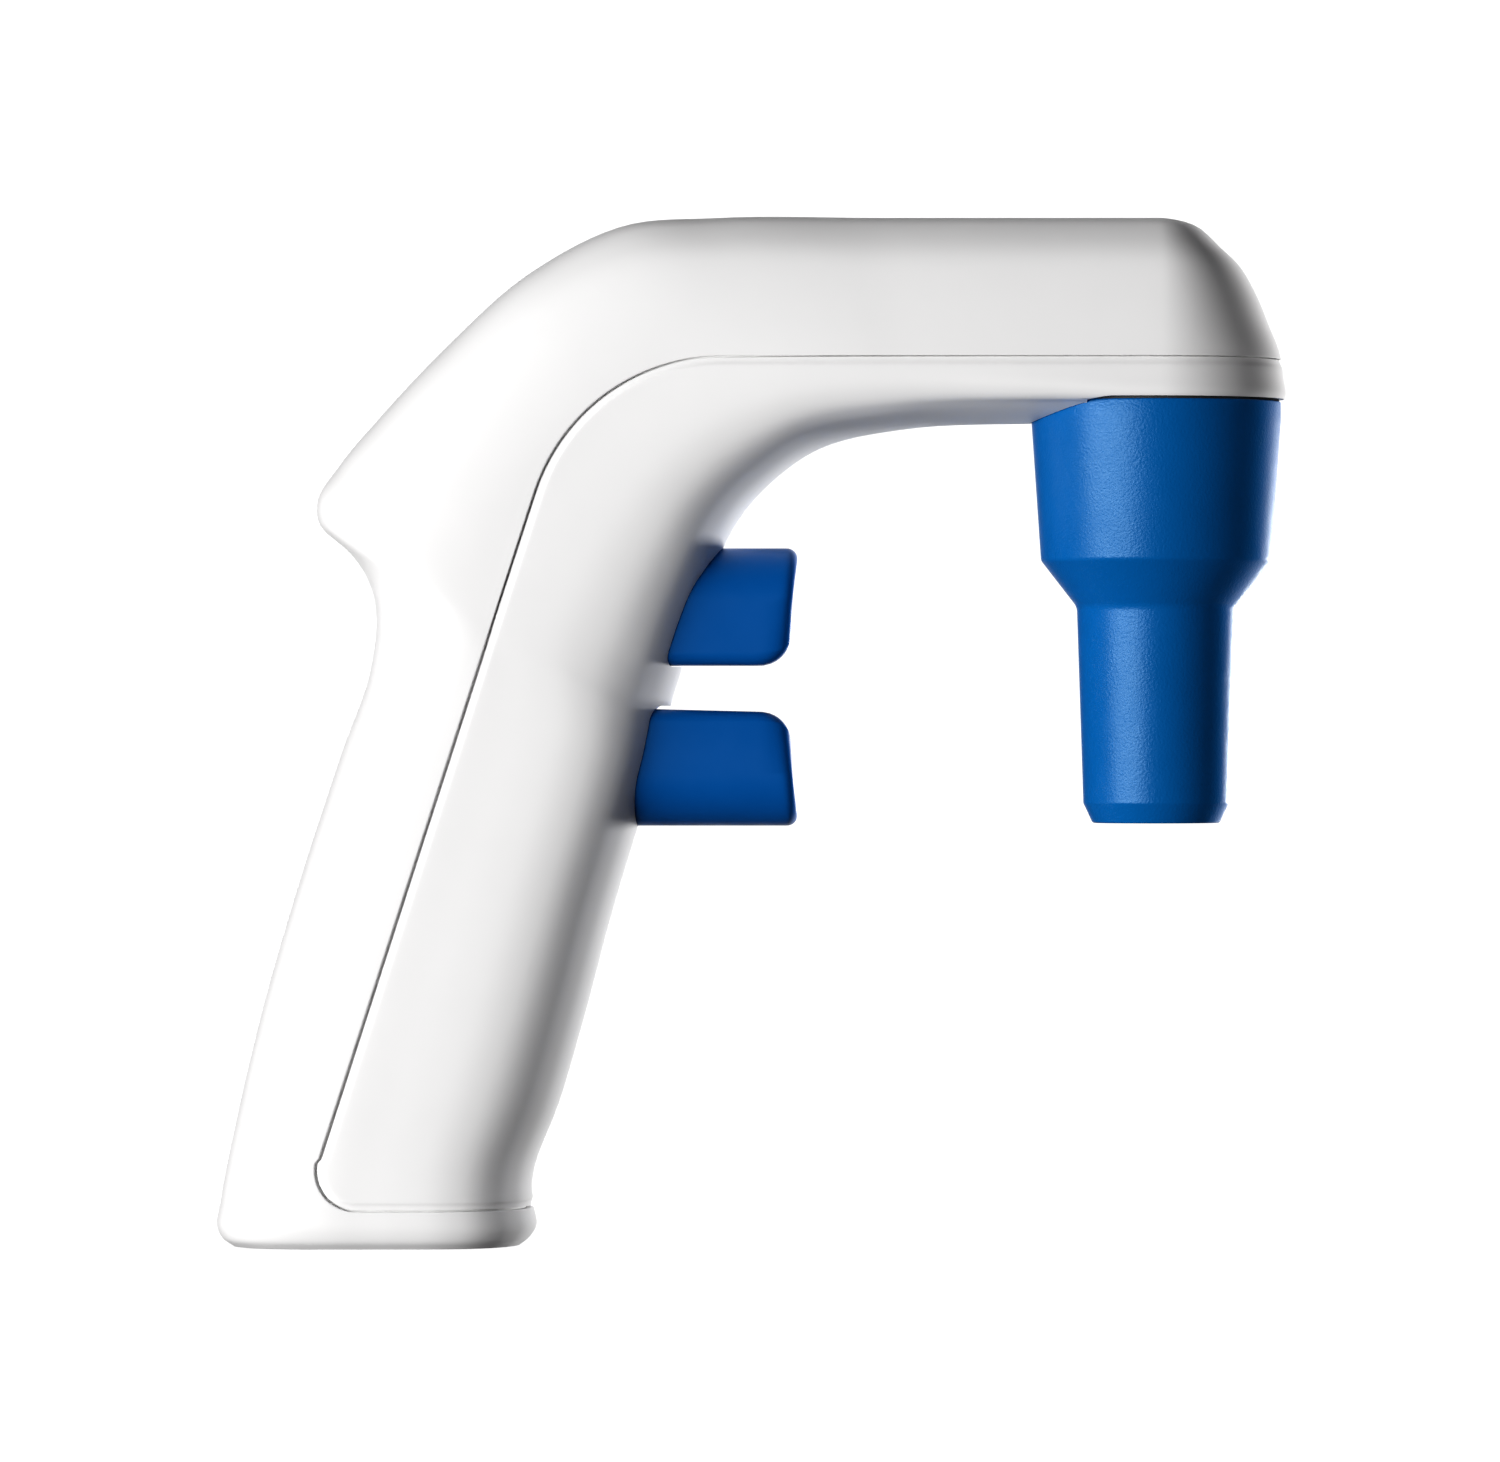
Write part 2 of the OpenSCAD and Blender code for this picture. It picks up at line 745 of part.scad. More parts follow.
module pump_axis(x) {
    translate([x, 0, pump_z])
        rotate([0, 90, 0])
            children();
}

module pump_corners(x) {
    for (y = [-pump_screw_at, pump_screw_at])
        for (z = [-pump_screw_at, pump_screw_at])
            translate([x, y, pump_z + z])
                rotate([0, 90, 0])
                    children();
}

module pump_bracket() {
    color("dimgray")
        difference() {
            translate([pump_x - 13, -pump_half, pump_z - 3])
                cube([8, 2 * pump_half, pump_half + 3]);
            pump_axis(pump_x - 14)
                cylinder(r = motor_r + 0.03, h = 10);
        }
}

module pump_motor() {
    color("silver")
        difference() {
            union() {
                pump_axis(motor_back + 0.02)
                    cylinder(r = motor_r, h = motor_length - 1);
                pump_axis(pump_x - 1.2)
                    cylinder(r1 = motor_r, r2 = motor_r - 0.6, h = 1.2);
                for (y = [-4, 4])
                    translate([pump_x - 0.1, y - 1, pump_z - 0.3])
                        cube([3, 2, 0.6]);
            }
            pump_axis(motor_back - 1)
                cylinder(r = shaft_r + running, h = motor_length - 2);
        }
}

// The frame of the tilted crank pin: its origin is the pivot and +Z points to the motor
module crank_frame() {
    translate([frame_back + 0.5, 0, pump_z])
        rotate([0, 90 - crank_tilt, 0])
            children();
}

module motor_shaft() {
    color("gray") {
        pump_axis(motor_back - 3.5)
            cylinder(r = shaft_r, h = motor_length - 1);
        pump_axis(motor_back - 5.5)
            cylinder(r = 4.2, h = 2 + eps);
        crank_frame()
            translate([0, 0, 3.2])
                cylinder(r = crank_pin_r, h = 4.6);
    }
}

module pump_frame() {
    color("darkslategray")
        difference() {
            pump_square(motor_back, frame_length);
            pump_axis(frame_back - 1)
                cylinder(r = 8.1, h = frame_length - 0.6);
            pump_axis(motor_back - 3)
                cylinder(r = 2.2, h = 6);
            pump_corners(frame_back - 1)
                cylinder(r = 0.9, h = 9);
        }
}

module wobble_plate() {
    color("white")
        crank_frame()
            difference() {
                union() {
                    translate([0, 0, 2.4])
                        cylinder(r = 6.6, h = 1.5);
                    translate([0, 0, 2.4])
                        cylinder(r = 2, h = 3.6);
                    for (a = [0, 120, 240])
                        rotate(a)
                            translate([4.8, 0, 1])
                                cylinder(r = 1.1, h = 2);
                }
                translate([0, 0, 3])
                    cylinder(r = crank_pin_r + running, h = 6);
            }
}

module pump_diaphragm() {
    color("dimgray")
        difference() {
            pump_square(frame_back, diaphragm_t);
            pump_corners(frame_back - 3)
                cylinder(r = 1, h = 6);
        }
}

module pump_valve_plate() {
    color("gainsboro")
        difference() {
            pump_square(valve_plate_x, valve_plate_t);
            pump_corners(valve_plate_x - 5)
                cylinder(r = 1, h = 8);
            for (a = [30, 150, 270])
                pump_axis(valve_plate_x - 5)
                    rotate(a)
                        translate([4.8, 0, 0])
                            cylinder(r = 0.7, h = 8);
        }
}

module pump_head() {
    color("darkslategray") {
        difference() {
            pump_square(head_x, head_t);
            pump_corners(head_back - 1)
                cylinder(r = 1, h = 9);
            pump_corners(head_back - 1)
                cylinder(r = 1.9, h = 2.6);
            for (y = [-pump_barb_y, pump_barb_y])
                translate([head_back - 1, y, pump_barb_z])
                    rotate([0, 90, 0])
                        cylinder(r = 0.8, h = 9);
        }
        for (y = [-pump_barb_y, pump_barb_y])
            translate([head_back, y, pump_barb_z])
                rotate([0, -90, 0])
                    barb();
    }
}

module pump_screws() {
    color("silver")
        pump_corners(head_back + 1.6)
            rotate([180, 0, 0])
                screw(0.9 - eps, 14, 1.7, 1.3);
}

// ---- Hoses ----

hose_steps = 3;
module suction_hose() {
    color("lightgray")
        sweep(smooth(suction_route, hose_steps), hose_r, 8);
}

module pressure_hose() {
    color("lightgray")
        mirror([0, 1, 0])
            sweep(smooth(suction_route, hose_steps), hose_r, 8);
}

module nose_hose() {
    color("lightgray")
        sweep(smooth(nose_route, hose_steps), hose_r, 8);
}

// ---- Power and control ----

module grip_frame() {
    translate([cell_at[0], 0, cell_at[1]])
        rotate([0, grip_lean, 0])
            children();
}

module battery_cell() {
    color("royalblue")
        grip_frame() {
            cylinder(r = cell_r, h = cell_length - 1);
            translate([0, 0, cell_length - 1 - eps])
                cylinder(r = 3, h = 1);
        }
}

module battery_holder() {
    cradle_r = cell_r + 1.2;
    color("dimgray")
        grip_frame()
            difference() {
                translate([0, 0, -3.5])
                    cylinder(r = cradle_r, h = cell_length + 6);
                translate([0, 0, -2])
                    cylinder(r = cell_r + 0.1, h = cell_length + 3);
                translate([-2 * cradle_r - 3, -cradle_r, -4])
                    cube([2 * cradle_r, 2 * cradle_r, cell_length + 8]);
            }
}

module battery_contacts() {
    color("gold")
        grip_frame() {
            translate([-2.5, -3, -1.95])
                cube([5, 6, 0.3]);
            translate([0, 0, -1.7])
                cylinder(r1 = 2.4, r2 = 1.2, h = 1.65);
            translate([-2.5, -3, cell_length + 0.6])
                cube([5, 6, 0.3]);
            translate([0, 0, cell_length + 0.02])
                cylinder(r1 = 1.2, r2 = 2.2, h = 0.6);
        }
}

module main_board() {
    color("darkgreen")
        grip_frame()
            difference() {
                translate([board_x - 1.6, -board_half_w, board_z[0]])
                    cube([1.6, 2 * board_half_w, board_z[1] - board_z[0]]);
                for (y = [-8.5, 8.5])
                    for (z = [board_z[0] + 2.5, board_z[1] - 2.5])
                        translate([board_x, y, z])
                            rotate([0, 90, 0])
                                cylinder(r = 1.2, h = 6, center = true);
            }
}

module board_components() {
    face = board_x + eps;
    color("black")
        grip_frame() {
            translate([face, -3.5, 22])
                cube([1.2, 7, 7]);
            translate([face, 4, 9])
                cube([2.2, 4.5, 4.5]);
            translate([face, -8, 10])
                cube([1, 4, 5]);
            translate([face, -5, 35])
                cube([2.4, 10, 4]);
            for (k = [0 : 4])
                translate([face, 6.2, 18 + 2.6 * k])
                    cube([0.8, 2, 1.2]);
        }
}

module charge_socket() {
    color("black")
        difference() {
            union() {
                translate([inlet_x, 0, base_z + 0.3])
                    cylinder(r = 4.1, h = 4);
                translate([inlet_x - 5, -5, base_z + wall + 0.1])
                    cube([10, 10, 10]);
            }
            translate([inlet_x, 0, base_z])
                cylinder(r = 2.8, h = 10);
        }
    color("silver")
        translate([inlet_x, 0, base_z + 1])
            cylinder(r = 0.8, h = 10);
}

module status_light() {
    color("lightgreen")
        status_frame() {
            translate([0, 0, -5])
                cylinder(r = 1.5, h = 4.9);
            translate([0, 0, -5.5])
                cylinder(r = 2.6, h = 2.4);
        }
}

module housing_screws() {
    color("silver")
        for (y = [-housing_screw_y, housing_screw_y])
            translate([housing_screw_x, y, base_z + 1 - 0.05])
                rotate([180, 0, 0])
                    screw(1.2 - eps, 10, 2.6, 0.9);
}

rear_housing();
front_housing();
aspirate_trigger();
dispense_trigger();
aspirate_valve_stem();
dispense_valve_stem();
aspirate_stem_seals();
dispense_stem_seals();
aspirate_spring();
dispense_spring();
aspirate_magnet();
dispense_magnet();
sensor_board();
valve_block();
valve_block_screws();
nose_cone();
pipette_adapter();
membrane_filter();
nose_socket();
filter_seal();
nose_socket_screws();
pump_bracket();
pump_motor();
motor_shaft();
pump_frame();
wobble_plate();
pump_diaphragm();
pump_valve_plate();
pump_head();
pump_screws();
suction_hose();
pressure_hose();
nose_hose();
battery_cell();
battery_holder();
battery_contacts();
main_board();
board_components();
charge_socket();
status_light();
housing_screws();
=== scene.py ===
"""Motorised pipette controller: two white shells, a blue nose cone and two blue triggers.

Outlines are in millimetres in the shared frame, and add_mesh turns them into metres.
"""

import bmesh
import bpy
import json
import numpy as np
from math import cos, sin, pi, radians
from mathutils import Matrix, Vector


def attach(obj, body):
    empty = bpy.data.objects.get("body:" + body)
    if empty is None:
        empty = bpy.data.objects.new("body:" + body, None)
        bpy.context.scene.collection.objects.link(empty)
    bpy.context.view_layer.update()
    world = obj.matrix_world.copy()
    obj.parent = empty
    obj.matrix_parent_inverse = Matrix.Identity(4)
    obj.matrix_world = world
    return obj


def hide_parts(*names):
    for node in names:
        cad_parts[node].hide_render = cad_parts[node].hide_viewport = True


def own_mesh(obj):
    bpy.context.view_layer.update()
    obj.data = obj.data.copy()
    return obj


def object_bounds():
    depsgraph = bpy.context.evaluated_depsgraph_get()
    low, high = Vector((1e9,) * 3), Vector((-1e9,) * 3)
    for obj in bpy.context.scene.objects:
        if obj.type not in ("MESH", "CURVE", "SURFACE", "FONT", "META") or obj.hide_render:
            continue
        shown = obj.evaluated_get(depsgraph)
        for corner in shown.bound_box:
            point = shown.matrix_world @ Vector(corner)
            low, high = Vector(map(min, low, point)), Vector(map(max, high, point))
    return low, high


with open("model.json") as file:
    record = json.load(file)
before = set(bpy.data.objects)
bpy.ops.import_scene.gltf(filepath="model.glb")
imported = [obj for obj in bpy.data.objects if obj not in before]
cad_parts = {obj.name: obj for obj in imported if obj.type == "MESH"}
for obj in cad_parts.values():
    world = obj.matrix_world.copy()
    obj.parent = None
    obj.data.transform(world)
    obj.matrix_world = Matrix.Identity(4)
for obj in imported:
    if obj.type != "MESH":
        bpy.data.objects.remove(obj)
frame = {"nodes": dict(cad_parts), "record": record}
cad_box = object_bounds()
MM = 0.001

# ---------------------------------------------------------------- camera

SENSOR_MM, LENS_MM = 36, 240
CAMERA_AT = (-0.0609, -1.5, 0.0138)

camera = bpy.data.objects.new("camera", bpy.data.cameras.new("camera"))
bpy.context.scene.collection.objects.link(camera)
camera.data.sensor_width = SENSOR_MM
camera.data.lens = LENS_MM
camera.data.clip_end = 20
camera.location = CAMERA_AT
camera.rotation_euler = (pi / 2, 0, 0)
bpy.context.scene.camera = camera

# ---------------------------------------------------------------- mesh helpers


def add_mesh(name, points, faces, smooth_angle=35, weld=1e-7):
    """A mesh object from points in millimetres, welded, with faces smooth up to an angle."""
    mesh = bpy.data.meshes.new(name)
    mesh.from_pydata((np.asarray(points) * MM).tolist(), [], faces)
    obj = bpy.data.objects.new(name, mesh)
    bpy.context.scene.collection.objects.link(obj)
    tidy(obj, smooth_angle, weld)
    return obj


def tidy(obj, smooth_angle=35, weld=1e-7):
    """Weld, turn the normals outwards, mark the edges sharper than the angle, and report open edges."""
    bm = bmesh.new()
    bm.from_mesh(obj.data)
    bmesh.ops.remove_doubles(bm, verts=bm.verts, dist=weld)
    bmesh.ops.dissolve_degenerate(bm, dist=weld, edges=bm.edges)
    bmesh.ops.recalc_face_normals(bm, faces=bm.faces)
    limit = radians(smooth_angle)
    for face in bm.faces:
        face.smooth = True
    for edge in bm.edges:
        edge.smooth = len(edge.link_faces) != 2 or edge.calc_face_angle(0) < limit
    open_edges = sum(len(e.link_faces) != 2 for e in bm.edges)
    if open_edges:
        print("OPEN EDGES", obj.name, open_edges)
    bm.to_mesh(obj.data)
    bm.free()


def boolean(obj, other, operation):
    """Apply an exact boolean with the other object, which is then removed."""
    mod = obj.modifiers.new("boolean", "BOOLEAN")
    mod.operation = operation
    mod.solver = "EXACT"
    mod.object = other
    bpy.context.view_layer.update()
    graph = bpy.context.evaluated_depsgraph_get()
    mesh = bpy.data.meshes.new_from_object(obj.evaluated_get(graph))
    obj.modifiers.clear()
    old = obj.data
    obj.data = mesh
    bpy.data.meshes.remove(old)
    bpy.data.objects.remove(other)


def lathe(name, profile, segments=128, centre=(0, 0), smooth_angle=35):
    """A solid turned about a vertical axis from a closed outline of (radius, height)."""
    r, z = np.array(profile, float).T
    turn = np.arange(segments) * 2 * pi / segments
    points = np.stack([centre[0] + np.outer(np.cos(turn), r), centre[1] + np.outer(np.sin(turn), r),
                       np.broadcast_to(z, (segments, len(z)))], -1).reshape(-1, 3)
    n = len(r)
    faces = [(j * n + k, (j + 1) % segments * n + k, (j + 1) % segments * n + (k + 1) % n,
              j * n + (k + 1) % n) for j in range(segments) for k in range(n)]
    return add_mesh(name, points, faces, smooth_angle)


def tube_faces(rings, n):
    """Quads between rings of n points each, one after the other."""
    return [(i * n + k, (i + 1) * n + k, (i + 1) * n + (k + 1) % n, i * n + (k + 1) % n)
            for i in range(rings - 1) for k in range(n)]


def rounded(corners, steps=8):
    """An outline from corners of (x, y, radius), with an arc in place of each corner."""
    out = []
    count = len(corners)
    for i, (x, y, r) in enumerate(corners):
        p = np.array([x, y], float)
        a = np.array(corners[i - 1][:2], float) - p
        b = np.array(corners[(i + 1) % count][:2], float) - p
        a /= np.linalg.norm(a)
        b /= np.linalg.norm(b)
        half = np.arccos(np.clip(a @ b, -1, 1)) / 2
        if r <= 0 or half > pi / 2 - 0.01:
            out.append(p)
            continue
        middle = p + (a + b) / np.linalg.norm(a + b) * r / sin(half)
        start, end = p + a * r / np.tan(half), p + b * r / np.tan(half)
        t0 = np.arctan2(*(start - middle)[::-1])
        t1 = np.arctan2(*(end - middle)[::-1])
        turn = (t1 - t0 + pi) % (2 * pi) - pi
        for k in range(steps + 1):
            t = t0 + turn * k / steps
            out.append(middle + r * np.array([cos(t), sin(t)]))
    return np.array(out)


# ---------------------------------------------------------------- the housing's surface, in mm
# u counts the stations from the nose to the base. q counts the points of a half section, from the outer
# edge to the inner edge, which is the triggers' side.

ARM_TOP, ARM_BOTTOM, ARM_HALF, GRIP_HALF = 90.6, 59.9, 19.5, 17.0
# Each station is [outer x, outer z, inner x, inner z, half width, section shape]
STATIONS = np.array([
    [0, ARM_TOP, 0, ARM_BOTTOM, ARM_HALF, 0],
    [-18, ARM_TOP, -18, ARM_BOTTOM, ARM_HALF - 0.15, 0.45],
    [-42, ARM_TOP, -38, 59, ARM_HALF - 0.5, 1],
    [-66, ARM_TOP, -52, 55.3, ARM_HALF - 1, 1.35],
    [-80, 89.4, -58.9, 49.9, GRIP_HALF + 1, 1.6],
    [-94, 82.3, -63.6, 43.8, GRIP_HALF + 0.6, 1.8],
    [-106.2, 71.5, -67.1, 35.5, GRIP_HALF + 0.3, 1.95],
    [-116.4, 60.7, -69.7, 28, GRIP_HALF + 0.1, 2],
    [-122.6, 53.3, -71.2, 22.8, GRIP_HALF, 2],
    [-125.7, 48.2, -72.3, 19.3, GRIP_HALF, 2],
    [-125.4, 44.6, -73, 16.7, GRIP_HALF, 2],
    [-120.6, 40.5, -74, 12.8, GRIP_HALF, 2],
    [-117, 34.2, -75.2, 8.2, GRIP_HALF, 2],
    [-117.3, 25.2, -77.2, 1.2, GRIP_HALF, 2],
    [-122.2, 10.2, -81.3, -12.4, GRIP_HALF, 2],
    [-128.1, -7.8, -85.7, -28.9, GRIP_HALF, 2],
    [-133.4, -25.9, -89.5, -41.8, GRIP_HALF, 2],
    [-137.7, -43.8, -93.3, -52, GRIP_HALF + 0.1, 2],
    [-140.2, -56.5, -93.4, -57, GRIP_HALF + 0.3, 2],
    [-140.7, -60.5, -93, -60.6, GRIP_HALF + 0.3, 2],
    [-140, -62, -93.9, -62, GRIP_HALF - 0.3, 2],
    [-138.4, -63.2, -95.4, -63.2, GRIP_HALF - 1.7, 2],
])
# Half sections from the outer edge to the inner edge: [depth fraction, half width fraction]
ARM_UPPER = [[0, 0], [0.004, 0.28], [0.03, 0.5], [0.095, 0.672], [0.2, 0.815], [0.36, 0.888]]
NOSE_UNDER = [[0.866, 1], [0.884, 0.987], [0.908, 0.82], [0.964, 0.52], [0.992, 0.25], [1, 0]]
NOSE_SIDE = np.array(ARM_UPPER + [[0.518, 0.933], [0.665, 0.962], [0.79, 0.988]] + NOSE_UNDER)
NOSE_FRONT = np.array([
    [0, 0], [0.007, 0.155], [0.049, 0.34], [0.142, 0.495], [0.235, 0.645], [0.368, 0.768],
    [0.518, 0.866], [0.668, 0.956], [0.79, 0.985]] + NOSE_UNDER)
ARM = np.array(ARM_UPPER + [
    [0.5, 0.926], [0.615, 0.955], [0.72, 0.975], [0.8, 0.965], [0.865, 0.91], [0.915, 0.79],
    [0.955, 0.6], [0.988, 0.32], [1, 0]])
GRIP = np.array([
    [0, 0], [0.004, 0.25], [0.02, 0.48], [0.06, 0.7], [0.12, 0.86], [0.22, 0.96], [0.35, 1],
    [0.48, 1], [0.6, 0.997], [0.71, 0.98], [0.8, 0.925], [0.88, 0.8], [0.94, 0.6],
    [0.985, 0.3], [1, 0]])
LAST_U, LAST_Q = len(STATIONS) - 1.0, len(ARM) - 1.0
FAN = 8.0  # the rounded nose end takes u from -FAN, at its front, to 0
BASE_Z = -63.2
WALL = 2.1
HEEL_CREASE = (-115, 36)  # side view of the hollow under the heel


def slopes(rows):
    """Tangents of the smooth curve through rows, along the second last axis."""
    step = np.diff(rows, axis=-2)
    span = np.linalg.norm(step, axis=-1, keepdims=True)
    before, after = span[..., :-1, :], span[..., 1:, :]
    inner = (step[..., :-1, :] * after / before + step[..., 1:, :] * before / after) / (before + after)
    first, last = step[..., :1, :] / span[..., :1, :], step[..., -1:, :] / span[..., -1:, :]
    return np.concatenate([first, inner, last], -2), span[..., 0]


def hermite(t, p0, m0, p1, m1):
    """The cubic from p0 to p1 with the tangents m0 and m1, at t from 0 to 1."""
    return (p0 * (2 * t**3 - 3 * t**2 + 1) + m0 * (t**3 - 2 * t**2 + t)
            + p1 * (3 * t**2 - 2 * t**3) + m1 * (t**3 - t**2))


STATION_SLOPE, STATION_SPAN = slopes(STATIONS)
STATION_SLOPE[0, [1, 3, 4, 5]] = 0  # the arm runs straight into the rounded nose end


def station(u):
    """The station values at u, smoothly between the rows."""
    i = np.clip(np.floor(u).astype(int), 0, int(LAST_U) - 1)
    t = (u - i)[:, None]
    d = STATION_SPAN[i][:, None]
    return hermite(t, STATIONS[i], STATION_SLOPE[i] * d, STATIONS[i + 1], STATION_SLOPE[i + 1] * d)


def section(table, q):
    """Depth and width fractions at q on each row's own table of points."""
    slope, span = slopes(table)
    slope[:, 0, 0] = slope[:, -1, 0] = 0  # both centre lines are smooth across
    i = np.clip(np.floor(q).astype(int), 0, int(LAST_Q) - 1)
    n = np.arange(len(q))
    d = span[n, i][:, None]
    return hermite((q - i)[:, None], table[n, i], slope[n, i] * d, table[n, i + 1],
                   slope[n, i + 1] * d).T


def surface(u, q, inset=0.0):
    """Points of the +Y half of the housing, inset from its outside, in millimetres."""
    u, q, inset = np.broadcast_arrays(np.asarray(u, float), np.asarray(q, float), np.asarray(inset, float))
    shape = u.shape
    u, q, inset = u.ravel(), q.ravel(), inset.ravel()
    row = station(np.maximum(u, 0))
    kind = row[:, 5][:, None, None]
    table = np.where(kind < 1, NOSE_SIDE + (ARM - NOSE_SIDE) * kind, ARM + (GRIP - ARM) * (kind - 1))
    v, h = section(table, q)
    way = row[:, 2:4] - row[:, 0:2]
    depth = np.linalg.norm(way, axis=1)
    along = (inset + v * (depth - 2 * inset)) / depth
    p = row[:, 0:2] + way * along[:, None]
    body = np.stack([p[:, 0], h * (row[:, 4] - inset), p[:, 1]], 1)
    turn = np.clip(-u / FAN, 0, 1) * pi / 2
    n = len(u)
    sv, sh = section(np.broadcast_to(NOSE_SIDE, (n,) + NOSE_SIDE.shape), q)
    fv, fh = section(np.broadcast_to(NOSE_FRONT, (n,) + NOSE_FRONT.shape), q)
    v = sv + (fv - sv) * np.sin(turn) ** 2
    nose = np.stack([fh * (ARM_HALF - inset) * np.sin(turn), sh * (ARM_HALF - inset) * np.cos(turn),
                     ARM_TOP - inset - (ARM_TOP - ARM_BOTTOM - 2 * inset) * v], 1)
    out = np.where((u < 0)[:, None], nose, body)
    out[:, 1] = np.where((q >= LAST_Q) | (q <= 0) | (u <= -FAN), 0, out[:, 1])
    return out.reshape(shape + (3,))


def side_view(u, q):
    """x and z of the surface."""
    p = surface(u, q)
    return p[..., 0], p[..., 2]


# ---------------------------------------------------------------- the seam between the shells

SEAM_Z, SEAM_BEND_R, SEAM_BEND_X = 69.3, 29.0, -65.19
LEAN = radians(17.9)
FOOT = np.array([-119.4, -57.4])
FOOT_R = 6.0
BEND = np.array([SEAM_BEND_X, SEAM_Z - SEAM_BEND_R])
CORNER = FOOT + [0, FOOT_R]
DOWN = np.array([-sin(LEAN), -cos(LEAN)])
INWARD = np.array([cos(LEAN), -sin(LEAN)])
BEND_END = BEND - INWARD * SEAM_BEND_R
CORNER_START = CORNER - INWARD * FOOT_R


def seam_distance(x, z):
    """Distance in from the seam's upper part: arm, bend and grip. Negative is the rear shell."""
    arm = SEAM_Z - z
    bend = SEAM_BEND_R - np.hypot(x - BEND[0], z - BEND[1])
    grip = (x - BEND_END[0]) * INWARD[0] + (z - BEND_END[1]) * INWARD[1]
    below = (x - BEND_END[0]) * DOWN[0] + (z - BEND_END[1]) * DOWN[1] > 0
    return np.where(x > BEND[0], arm, np.where(below, grip, bend))


def solve(f, low, high, steps=40):
    """Where f, which rises from low to high, crosses zero."""
    low, high = np.array(low, float), np.array(high, float)
    for _ in range(steps):
        middle = (low + high) / 2
        up = f(middle) > 0
        high = np.where(up, middle, high)
        low = np.where(up, low, middle)
    return (low + high) / 2


def seam_q(u, d):
    """q at the distance d in from the seam on the column u."""
    u, d = np.broadcast_arrays(np.asarray(u, float), np.asarray(d, float))
    return solve(lambda q: seam_distance(*side_view(u, q)) - d, np.full(u.shape, 0.5),
                 np.full(u.shape, LAST_Q - 0.3))


FINE_U = np.linspace(14, LAST_U, 1401)


def invert(x, z):
    """(u, q) of points in the side view of the lower grip."""
    x, z = np.asarray(x, float), np.asarray(z, float)
    shape = x.shape
    x, z = x.ravel()[:, None], z.ravel()[:, None]

    def offset(u):
        row = station(u.ravel()).reshape(u.shape + (6,))
        wx, wz = row[..., 2] - row[..., 0], row[..., 3] - row[..., 1]
        return (wx * (z - row[..., 1]) - wz * (x - row[..., 0])) / np.hypot(wx, wz)

    grid = offset(np.broadcast_to(FINE_U, (len(x), len(FINE_U))))
    i = np.argmax(grid[:, :-1] * grid[:, 1:] <= 0, 1)
    low = FINE_U[i][:, None]
    u = solve(lambda t: -offset(t), low, low + (FINE_U[1] - FINE_U[0]), 30)[:, 0]
    row = station(u)
    way = row[:, 2:4] - row[:, 0:2]
    v = ((x[:, 0] - row[:, 0]) * way[:, 0] + (z[:, 0] - row[:, 1]) * way[:, 1]) / (way**2).sum(1)
    table = np.broadcast_to(GRIP, (len(u),) + GRIP.shape)
    q = solve(lambda t: section(table, t)[0] - v, np.zeros(len(u)), np.full(len(u), LAST_Q))
    return u.reshape(shape), q.reshape(shape)


def on_level(q, z, low=16.0, high=LAST_U, inset=0.0):
    """u where the surface at q is at the height z."""
    q, z = np.broadcast_arrays(np.asarray(q, float), np.asarray(z, float))
    return solve(lambda u: z - surface(u, q, inset)[..., 2], np.full(q.shape, low), np.full(q.shape, high))


def on_line(q, a, b, low=15.0, high=20.5):
    """u where the surface at q is on the line from a to b in the side view."""
    a, b = np.asarray(a, float), np.asarray(b, float)
    normal = np.stack([b[..., 1] - a[..., 1], a[..., 0] - b[..., 0]], -1)

    def off(u):
        x, z = side_view(u, q)
        return (x - a[..., 0]) * normal[..., 0] + (z - a[..., 1]) * normal[..., 1]

    return solve(off, np.full(q.shape, low), np.full(q.shape, high))


# Length along a typical half section, for even spacing
TYPICAL_DEPTH, TYPICAL_HALF_WIDTH = 42, 18
SECTION_STEP = np.diff((ARM + GRIP) / 2 * [TYPICAL_DEPTH, TYPICAL_HALF_WIDTH], axis=0)
LENGTH = np.concatenate([[0], np.cumsum(np.hypot(*SECTION_STEP.T))])


def spaced(q0, q1, count):
    """count + 1 values of q, evenly spaced along the section, from q0 to q1 for each column."""
    q0, q1 = np.atleast_1d(q0)[:, None], np.atleast_1d(q1)[:, None]
    table = np.arange(len(LENGTH))
    l0, l1 = np.interp(q0, table, LENGTH), np.interp(q1, table, LENGTH)
    q = np.interp(l0 + (l1 - l0) * np.linspace(0, 1, count + 1), LENGTH, table)
    q[:, :1], q[:, -1:] = q0, q1
    return q


def grid_faces(n, m, first=0):
    """Quads of an n by m grid of points."""
    return [(first + i * m + k, first + (i + 1) * m + k, first + (i + 1) * m + k + 1,
             first + i * m + k + 1) for i in range(n - 1) for k in range(m - 1)]


class Half:
    """Blocks of points on the +Y half, mirrored and welded into one closed solid."""

    def __init__(self):
        self.points, self.faces, self.count = [], [], 0

    def block(self, points):
        """Add a grid of points and its quads."""
        n, m = points.shape[:2]
        self.faces += grid_faces(n, m, self.count)
        self.points.append(points.reshape(-1, 3))
        self.count += n * m

    def build(self, name):
        """Mirror what was added and make one mesh of it."""
        points = np.concatenate(self.points)
        both = np.concatenate([points, points * [1, -1, 1]])
        mirrored = [tuple(i + self.count for i in face[::-1]) for face in self.faces]
        return add_mesh(name, both, self.faces + mirrored, smooth_angle=38, weld=2e-7)


FAN_U = np.linspace(-FAN, 0, 33)[:-1]
EDGE_STEPS = 26
COLUMNS_PER_STATION = 7
CORNER_TURNS = np.linspace(pi - LEAN, 1.5 * pi, 15)


